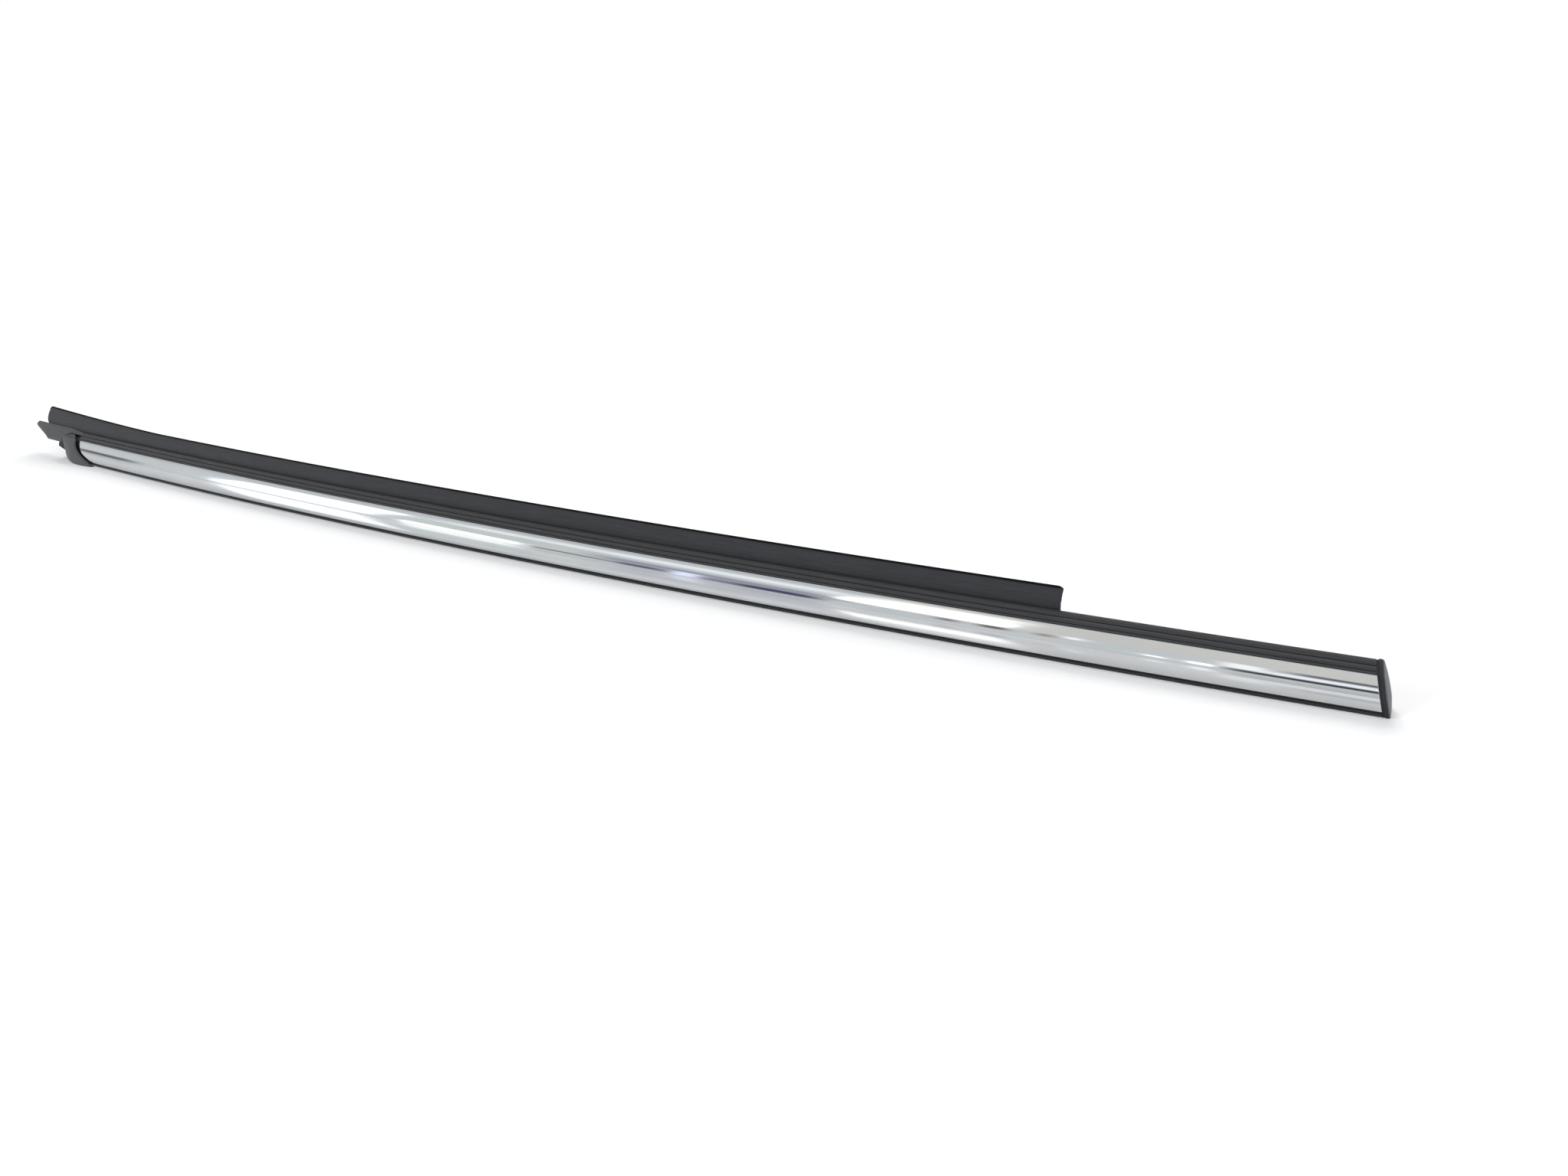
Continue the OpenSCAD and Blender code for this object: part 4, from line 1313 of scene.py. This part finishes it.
@dataclass
class RearEnd:
    """The moulded rear end: a flat tail, and a hooded collar over the trim's rounded end.

    Attributes:
        tail_slant: Length of the cut that takes the tail's depth from tip_d to cut_d.
        tail_drop, tail_lift: How far the tail laps down the face, and stands over the ribs.
        fade, hold, butt: Lengths in which its front end comes down to the ribs and takes up
            their slant, and the gap left there.
        tip_l: Length of the tip's finer rows.
        under: How far the narrowed tail reaches under the collar.
        sweep, sweep_gap: The quarter circle in which it narrows, and where that starts.
        thin, thin_u: How much thinner the narrowed edge is, up to what share of its width.
        collar_w, collar_foot_w, waist: The collar's length on the band and at the foot, and
            how much it narrows between them.
        rise, foot_rise: How far the mouth stands proud on the shoulder and at the foot.
        edge_u, edge_t: Share of the width in which the mouth's edge is rounded, and the share
            of the thickness left there.
        gap, toe: How far the mouth lies behind the trim's end above, and before it below.
        mouth_w, mouth_slant: How far the mouth runs up the band, and back along it.
        scoop, dish: How the mouth and the hood sink towards the glass lip.
        back_in, sink, tuck, tuck_face: How the rear edge lies on the band, foot and face.
        line_blur, edge_blur, stand_blur: Points under the bells that smooth the line, the
            mouth's edge and how far the hood stands proud.
        line_rows, width_steps: Grid of the collar, down its line and across its width.
    """

    tail_slant: float = 33.0
    tail_drop: float = 2.6
    tail_lift: float = 1.5
    fade: float = 26.0
    hold: float = 20.0
    butt: float = 0.15
    sweep: float = 8.0
    sweep_gap: float = 0.8
    thin: float = 0.85
    thin_u: float = 0.6
    tip_d: float = 8.2
    cut_d: float = 0.6
    tip_l: float = 2.0
    under: float = 0.3
    collar_w: float = 28.7
    collar_foot_w: float = 23.7
    waist: float = 4.0
    rise: float = 1.0
    foot_rise: float = 1.9
    belly: float = 3.8
    shoulder_belly: float = 0.6
    sink: float = 1.2
    collar_t: float = 1.6
    edge_u: float = 0.06
    edge_t: float = 0.001
    gap: float = 5.5
    toe: float = 2.5
    toe_power: float = 1.8
    mouth_w: float = 6.4
    mouth_slant: float = 13.0
    mouth_power: float = 0.8
    scoop: float = 1.6
    scoop_power: float = 0.45
    dish: float = 0.8
    back_in: float = 0.5
    tuck: float = 0.05
    tuck_face: float = 0.3
    line_blur: int = 99
    edge_blur: int = 13
    stand_blur: int = 19
    line_rows: int = 90
    width_steps: int = 56

    @property
    def inner_edge(self) -> Array:
        """Inboard edge of the tail, beside the glass lip."""
        return SECTION.rib_edges[-1] + [0, self.tail_lift]

    def line(self) -> Array:
        """Line that the collar follows: down the ribbed band, over the shoulder, down the face."""
        up = unit(self.inner_edge - SECTION.face_top)
        face_d = SECTION.face_low[0]
        path = np.vstack([SECTION.face_top + self.mouth_w * up, SECTION.face(60)[::-1],
                          [face_d + 0.05, SECTION.face_foot / 2], [face_d + self.tuck_face, 0.0]])
        fine = along_path(path, np.linspace(0, lengths(path)[-1], 720))
        smooth = np.stack([eased(row, self.line_blur) for row in fine.T], -1)
        return along_path(smooth, np.linspace(0, lengths(smooth)[-1], self.line_rows))

    def collar(self) -> Tube:
        """The hood as rings, one at each row of the line.

        A ring runs out across the width on the outer side and back on the inner side. A share u
        of the width stands proud by rear + (open - rear) u + belly sin(180 u), each of which
        depends on how far the row lies up the band or down the face. The open edge runs forward
        with a power of the way down the face, and back with a power of the way up the band.
        """
        line = self.line()
        top = SECTION.face_top
        d, z = line.T
        inboard = np.clip((d - top[0]) / (line[0, 0] - top[0]), 0, 1) * (z > top[1] - 0.3)
        down = np.maximum(0.0, top[1] - z) / top[1]
        forward = (self.gap + BrightTrim.end_r + self.toe) * down ** self.toe_power
        edge = eased(STATIONS.trim_rear - self.gap + forward
                     - self.mouth_slant * inboard ** self.mouth_power, self.edge_blur)[:, None]
        back = (STATIONS.trim_rear - self.collar_w + (self.collar_w - self.collar_foot_w) * down
                + self.waist * np.sin(math.pi * down) ** 1.5 - self.back_in * inboard)[:, None]
        rear = (-self.tuck - self.tuck_face * np.sqrt(down) - self.sink * down ** 6)[:, None]
        front = eased(self.rise + (self.foot_rise - self.rise) * down
                      - (self.rise + self.scoop) * inboard ** self.scoop_power,
                      self.stand_blur)[:, None]
        belly = eased(self.shoulder_belly * (1 - inboard)
                      + (self.belly - self.shoulder_belly) * down ** 1.5
                      - self.dish * np.sin(math.pi * inboard), self.stand_blur)[:, None]
        u = np.linspace(0, 1, self.width_steps)[None, :]
        proud = rear + (front - rear) * u + belly * np.sin(math.pi * u)
        past = ((u - (1 - self.edge_u)) / self.edge_u).clip(0, 1)
        thick = self.collar_t * (1 - (1 - self.edge_t) * fallen(past))
        middle = proud - self.collar_t / 2
        stand = np.concatenate([middle + thick / 2, (middle - thick / 2)[:, ::-1]], 1)
        share = np.concatenate([u, u[:, ::-1]], 1)
        normal = right_of(unit(np.gradient(line, axis=0)))
        at = line[:, None, :] + stand[..., None] * normal[:, None, :]
        at[..., 1] = np.maximum(0.0, at[..., 1])
        return ringed(back * (1 - share) + edge * share, at)

    def tail(self) -> Tube:
        """The tail as rings along the strip.

        A ring runs up the blade's surface from the slanted cut's depth, which grows evenly from
        the tip, to the inner edge, then back along its underside. In front of the collar's rear
        edge it narrows in a quarter circle's sweep to the strip beside the glass lip.
        """
        face = SECTION.face(60)
        run = lengths(face)
        lapped = run >= run[-1] * (1 - self.tail_drop / SECTION.face_chord)
        path = np.vstack([face[lapped], self.inner_edge])
        run = lengths(path)
        rear, stop = STATIONS.rear_end, STATIONS.cover_rear
        cut_end = rear + self.tail_slant
        s = np.concatenate([np.linspace(rear, rear + self.tip_l, 5)[:-1],
                            np.linspace(rear + self.tip_l, cut_end, 30)[:-1],
                            np.linspace(cut_end, stop, 60)])[:, None]
        cut = np.interp(np.interp(s, [rear, cut_end], [self.tip_d, self.cut_d]), path[:, 0], run)
        strip = np.interp(self.line()[0, 0] - self.under, path[:, 0], run)
        swept = STATIONS.trim_rear - self.collar_w - self.back_in + self.sweep_gap
        share = 1 - fallen(1 - np.clip((s - swept) / self.sweep, 0, 1))
        start = np.maximum(cut, share * strip)
        u = np.linspace(0, 1, 40)
        at = start * (1 - u) + run[-1] * u
        top = along_path(path, at.ravel()).reshape(*at.shape, 2)
        up = SECTION.up_band(top[..., 0]).clip(0, 1)
        top[..., 1] -= self.tail_lift * np.clip((s - (stop - self.fade)) / self.fade, 0, 1) * up
        low = top.copy()
        thinned = self.thin * share * (1 - np.clip(u / self.thin_u, 0, 1))
        low[..., 1] -= SECTION.cover_t * (1 - thinned)
        ring = np.concatenate([top, low[:, ::-1]], 1)
        held = RibbedCover.slant * SECTION.up_band(ring[..., 0]) + self.butt
        return ringed(s - np.clip((s - (stop - self.hold)) / self.hold, 0, 1) * held, ring)

    def build(self, wardrobe: Wardrobe) -> None:
        """Builds and dresses the rear end."""
        wardrobe.add("rear_collar_and_tail", [self.collar(), self.tail()], "rear_end_cap",
                     Slot.END_CAP, CREASE_MOULDED)


@dataclass
class Carrier:
    """What the CAD model already has right: the channel, and all that sits inside it."""

    clips: int = 6

    def build(self, wardrobe: Wardrobe) -> None:
        """Dresses those nodes."""
        dressed = {"carrier_channel": Slot.CHANNEL, "grip_fins": Slot.FINS,
                   "front_cap_rivet": Slot.RIVET, "rear_foam_block": Slot.FOAM,
                   "front_foam_block": Slot.FOAM,
                   **{f"retaining_clip_{i + 1}": Slot.CLIP for i in range(self.clips)}}
        for node, slot in dressed.items():
            wardrobe.dress(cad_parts[node], slot)
            log.info("%s: CAD shape with the %s finish", node, slot.value)


# ---- Studio ---------------------------------------------------------------------------------


@dataclass(frozen=True)
class Pane:
    """A soft-edged rectangle on the wall behind the camera, in metres.

    Attributes:
        left, right: Its sides.
        low, high: Its foot and its top.
        glow: Linear colour.
        soft: Half width of the change at its sides.
        fade: Half height of the change at its foot and top.
    """

    left: float
    right: float
    low: float
    high: float
    glow: Colour
    soft: float = 0.06
    fade: float = 0.06


PANES: tuple[Pane, ...] = (
    Pane(-9.0, 3.0, 1.4, 4.5, (0.80, 0.83, 0.86), 0.2, 0.2),        # pale band, high up
    Pane(-0.6, 3.0, 0.75, 2.0, (1.0, 0.97, 0.92), 0.1, 0.2),        # warm card
    Pane(-2.3, -0.6, 0.88, 1.2, (1.4, 1.45, 1.45), 0.18, 0.12),     # bright card
    Pane(-2.3, -1.4, 0.2, 0.72, (0.95, 1.0, 0.96), 0.08, 0.1),      # pale card
    Pane(-1.4, -0.55, 0.3, 0.62, (0.5, 0.5, 0.6), 0.12, 0.12),      # grey cards
    Pane(-1.78, -1.32, 0.09, 0.2, (0.24, 0.26, 0.25), 0.06, 0.05),
    Pane(-1.3, -0.62, 0.04, 0.3, (0.36, 0.36, 0.46), 0.06, 0.08),
    Pane(-1.29, -1.14, 0.12, 0.24, (0.12, 0.12, 0.16), 0.03, 0.04),  # dark cards
    Pane(-0.86, -0.61, 0.06, 0.3, (0.1, 0.1, 0.19), 0.05, 0.06),
    Pane(-1.09, -1.0, 0.02, 0.4, (1.5, 1.55, 1.9), 0.025, 0.08),    # bright gap
    Pane(-3.6, -2.5, 0.1, 1.0, (4.0, 4.2, 4.3), 0.1, 0.1),          # large light, left
    Pane(-2.27, -1.7, 0.0, 0.29, (3.0, 3.1, 3.1), 0.015, 0.05),     # low light, left
    Pane(-0.58, -0.12, 0.8, 1.35, (2.0, 1.95, 1.85), 0.06, 0.2),    # glow over the middle light
    Pane(-0.58, -0.12, 0.5, 0.9, (4.0, 3.9, 3.7), 0.03, 0.08),      # middle light
    Pane(-0.28, -0.23, 0.2, 0.4, (0.3, 0.26, 0.22), 0.02, 0.05),    # narrow cards, dark to bright
    Pane(-0.17, -0.1, 0.22, 0.44, (0.18, 0.15, 0.13), 0.02, 0.05),
    Pane(-0.03, 0.02, 0.3, 0.52, (0.6, 0.42, 0.32), 0.015, 0.05),
    Pane(0.04, 0.08, 0.42, 0.62, (1.9, 1.9, 1.85), 0.015, 0.05),
    Pane(0.24, 0.28, 0.12, 0.21, (3.0, 3.0, 3.0), 0.01, 0.03),      # narrow lights
    Pane(0.34, 0.39, 0.1, 0.26, (3.0, 3.0, 3.0), 0.01, 0.04),
    Pane(0.41, 0.5, 0.3, 0.68, (1.7, 1.7, 1.65), 0.02, 0.05),
    Pane(0.5, 3.0, 0.28, 0.46, (1.5, 1.55, 1.6), 0.04, 0.05),       # bright band, right
    Pane(0.42, 3.0, 0.07, 0.24, (0.06, 0.06, 0.07), 0.04, 0.05),    # dark bands, right
    Pane(0.56, 3.0, 0.52, 0.7, (0.2, 0.2, 0.22), 0.05, 0.06),
    Pane(-5.4, -4.5, -0.2, 0.38, (0.2, 0.2, 0.2), 0.16, 0.14),      # dark card, far left
)


@dataclass(frozen=True)
class Lamp:
    """A soft rectangular lamp that faces the frame's origin.

    Attributes:
        name: Its name.
        at: Its place in metres.
        size: Its width and height in metres.
        energy: Its power in watts.
        colour: Its colour.
    """

    name: str
    at: Triple
    size: tuple[float, float]
    energy: float
    colour: Colour = (1.0, 1.0, 1.0)

    def build(self) -> None:
        """Hangs the lamp, unseen by shiny surfaces."""
        data = bpy.data.lights.new(self.name, "AREA")
        data.shape = "RECTANGLE"
        data.size, data.size_y = self.size
        data.energy = self.energy
        data.color = self.colour
        lamp = bpy.data.objects.new(self.name, data)
        lamp.location = self.at
        lamp.rotation_euler = (-Vector(self.at)).to_track_quat("-Z", "Y").to_euler()
        lamp.visible_glossy = False
        bpy.context.scene.collection.objects.link(lamp)


LAMPS: tuple[Lamp, ...] = (
    Lamp("overhead", (-0.3, 1.3, 1.4), (1.2, 1.2), 25.0),
    Lamp("window", (-1.3, -2.1, 1.1), (1.0, 0.9), 30.0, (0.95, 0.98, 1.0)),
    Lamp("ceiling", (1.7, -0.7, 1.3), (0.6, 0.6), 14.0),
)


def stage_set(name: str, points: Sequence[Sequence[float]],
              faces: Sequence[Sequence[int]]) -> bpy.types.Object:
    """Adds a piece of the studio.

    Args:
        name: Its name.
        points: Its corners in metres.
        faces: Its faces as corner numbers.

    Returns:
        The new object.
    """
    mesh = bpy.data.meshes.new(name)
    mesh.from_pydata(points, [], faces)
    piece = bpy.data.objects.new(name, mesh)
    bpy.context.scene.collection.objects.link(piece)
    return piece


@dataclass
class Studio:
    """Pale floor that sweeps up behind, soft lamps and the camera.

    Attributes:
        camera_at: Camera's place in metres.
        yaw, pitch, roll: Turns of the camera in degrees: left of +Y, down, and about its axis.
        lens: Focal length in millimetres for a sensor 36 mm wide.
        side, near, high: How far the floor reaches to each side and nearer, and its top.
        cove_y, cove_r: Where the floor starts to sweep up, and the sweep's radius.
        paper, bounce: The floor's colour where it is seen, and as a source of light.
        shade_front: How far in front of y 0 the shaded floor's middle lies.
        shade_x, shade_y, shade_z: Distances from that middle and from the floor between which
            the shaded floor gives way to plain white.
        polish: Share of gloss that shiny surfaces see in the floor.
        fill: Strength of the surround as a source of light.
        wall_x, wall_y, wall_top: The pane wall's ends, place and top.
    """

    camera_at: Triple = (0.51971, -0.47685, 0.23176)
    yaw: float = 31.312
    pitch: float = 21.173
    roll: float = -1.462
    lens: float = 27.05
    side: float = 9.0
    near: float = -8.0
    high: float = 6.0
    cove_y: float = 2.2
    cove_r: float = 1.2
    paper: Colour = (0.97, 0.97, 0.97)
    bounce: Colour = (0.72, 0.72, 0.72)
    shade_front: float = 0.02
    shade_x: tuple[float, float] = (0.56, 0.75)
    shade_y: tuple[float, float] = (0.07, 0.26)
    shade_z: tuple[float, float] = (0.0, 0.05)
    polish: float = 0.36
    polish_tint: Colour = (0.97, 0.97, 0.97)
    polish_rough: float = 0.1
    fill: float = 0.43
    surround: Colour = (0.985, 0.99, 1.0)
    wall_x: tuple[float, float] = (-9.0, 3.0)
    wall_y: float = -2.0
    wall_top: float = 4.0
    plaster: Colour = (0.94, 0.97, 0.98)

    def floor(self) -> None:
        """Floor, cove and wall in one surface: flat, then a quarter turn, then upright."""
        turn = np.radians(np.linspace(0, 90, 24))
        back = self.cove_y + self.cove_r
        y = np.concatenate([[self.near], self.cove_y + self.cove_r * np.sin(turn), [back]])
        z = np.concatenate([[0.0], self.cove_r * (1 - np.cos(turn)), [self.high]])
        n = len(y)
        grid = np.stack([np.repeat([-self.side, self.side], n), np.tile(y, 2), np.tile(z, 2)], -1)
        k = np.arange(n - 1)
        faces = np.stack([k, k + n, k + n + 1, k + 1], -1)
        floor = stage_set("studio_floor", grid.tolist(), faces.tolist())
        floor.data.shade_smooth()
        t = Tree.of_material("studio_white")
        at = t.object_coordinates()
        far = (abs(t.axis(at, "X")).over(*self.shade_x)
               .larger(abs(t.axis(at, "Y") + self.shade_front).over(*self.shade_y))
               .larger(t.axis(at, "Z").over(*self.shade_z)))
        seen = t.seen()
        tone = t.blend(seen, self.bounce, self.paper)
        paper = t.node("ShaderNodeBsdfDiffuse", {}, {"Color": tone})
        white = t.node("ShaderNodeEmission", {}, {"Color": (1.0, 1.0, 1.0), "Strength": 1.0})
        plain = t.node("ShaderNodeMixShader", {}, {0: seen * far, 1: paper, 2: white})
        gloss = t.node("ShaderNodeBsdfGlossy", {}, {"Color": self.polish_tint,
                                                    "Roughness": self.polish_rough})
        floor.data.materials.append(t.output(t.node(
            "ShaderNodeMixShader", {}, {0: t.ray("Glossy") * self.polish, 1: plain, 2: gloss})))

    def world(self) -> None:
        """A plain pale surround, white where it is seen or mirrored, dimmer as a light."""
        world = bpy.data.worlds.new("studio_surround")
        bpy.context.scene.world = world
        t = Tree(world)
        level = t.node("ShaderNodeMapRange", {}, {"Value": t.seen(), "To Min": self.fill,
                                                  "To Max": 1.0})
        t.output(t.node("ShaderNodeBackground", {}, {"Color": self.surround, "Strength": level}))

    def room(self) -> None:
        """The wall behind the camera, which only shiny surfaces see: lights and cards.

        Each pane is a product of four smooth steps, one at each of its sides, and blends its
        own glow over what lies under it.
        """
        left, right = self.wall_x
        corners = [(left, 0.0), (left, self.wall_top), (right, self.wall_top), (right, 0.0)]
        wall = stage_set("studio_panes", [(x, self.wall_y, z) for x, z in corners], [(0, 1, 2, 3)])
        wall.visible_camera = wall.visible_diffuse = wall.visible_shadow = False
        t = Tree.of_material("studio_panes")
        at = t.object_coordinates()
        x, z = t.axis(at, "X"), t.axis(at, "Z")
        glow: Any = self.plaster
        for pane in PANES:
            inside = (x.over(pane.left - pane.soft, pane.left + pane.soft)
                      * (1 - x.over(pane.right - pane.soft, pane.right + pane.soft))
                      * z.over(pane.low - pane.fade, pane.low + pane.fade)
                      * (1 - z.over(pane.high - pane.fade, pane.high + pane.fade)))
            glow = t.blend(inside, glow, pane.glow)
        wall.data.materials.append(
            t.output(t.node("ShaderNodeEmission", {}, {"Color": glow, "Strength": 1.0})))

    def camera(self) -> None:
        """The camera, from its yaw, pitch and roll."""
        yaw, pitch, roll = np.radians([self.yaw, self.pitch, self.roll])
        look = np.array([-math.sin(yaw) * math.cos(pitch), math.cos(yaw) * math.cos(pitch),
                         -math.sin(pitch)])
        right = np.array([math.cos(yaw), math.sin(yaw), 0.0])
        up = np.cross(right, look)
        across = right * math.cos(roll) + up * math.sin(roll)
        over = up * math.cos(roll) - right * math.sin(roll)
        data = bpy.data.cameras.new("camera")
        data.lens, data.sensor_width, data.clip_start = self.lens, 36.0, 0.01
        camera = bpy.data.objects.new("camera", data)
        turn = Matrix(np.stack([across, over, -look], 1).tolist()).to_4x4()
        camera.matrix_world = Matrix.Translation(self.camera_at) @ turn
        bpy.context.scene.collection.objects.link(camera)
        bpy.context.scene.camera = camera

    def build(self) -> None:
        """Sets up the studio."""
        self.floor()
        self.world()
        self.room()
        for lamp in LAMPS:
            lamp.build()
        self.camera()
        bpy.context.scene.view_settings.view_transform = "Standard"
        log.info("studio: floor, lamps and camera in place")


def main() -> None:
    """Builds every sub-assembly in order, dresses it and sets up the studio."""
    logging.basicConfig(level=logging.INFO, format="%(name)s: %(message)s", stream=sys.stdout)
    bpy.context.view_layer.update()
    wardrobe = Wardrobe()
    for assembly in (BrightTrim(), RibbedCover(), UpperLip(), LowerLip(), SkinLip(), FrontEnd(),
                     RearEnd(), Carrier()):
        assembly.build(wardrobe)
    Studio().build()


if __name__ == "__main__":
    main()
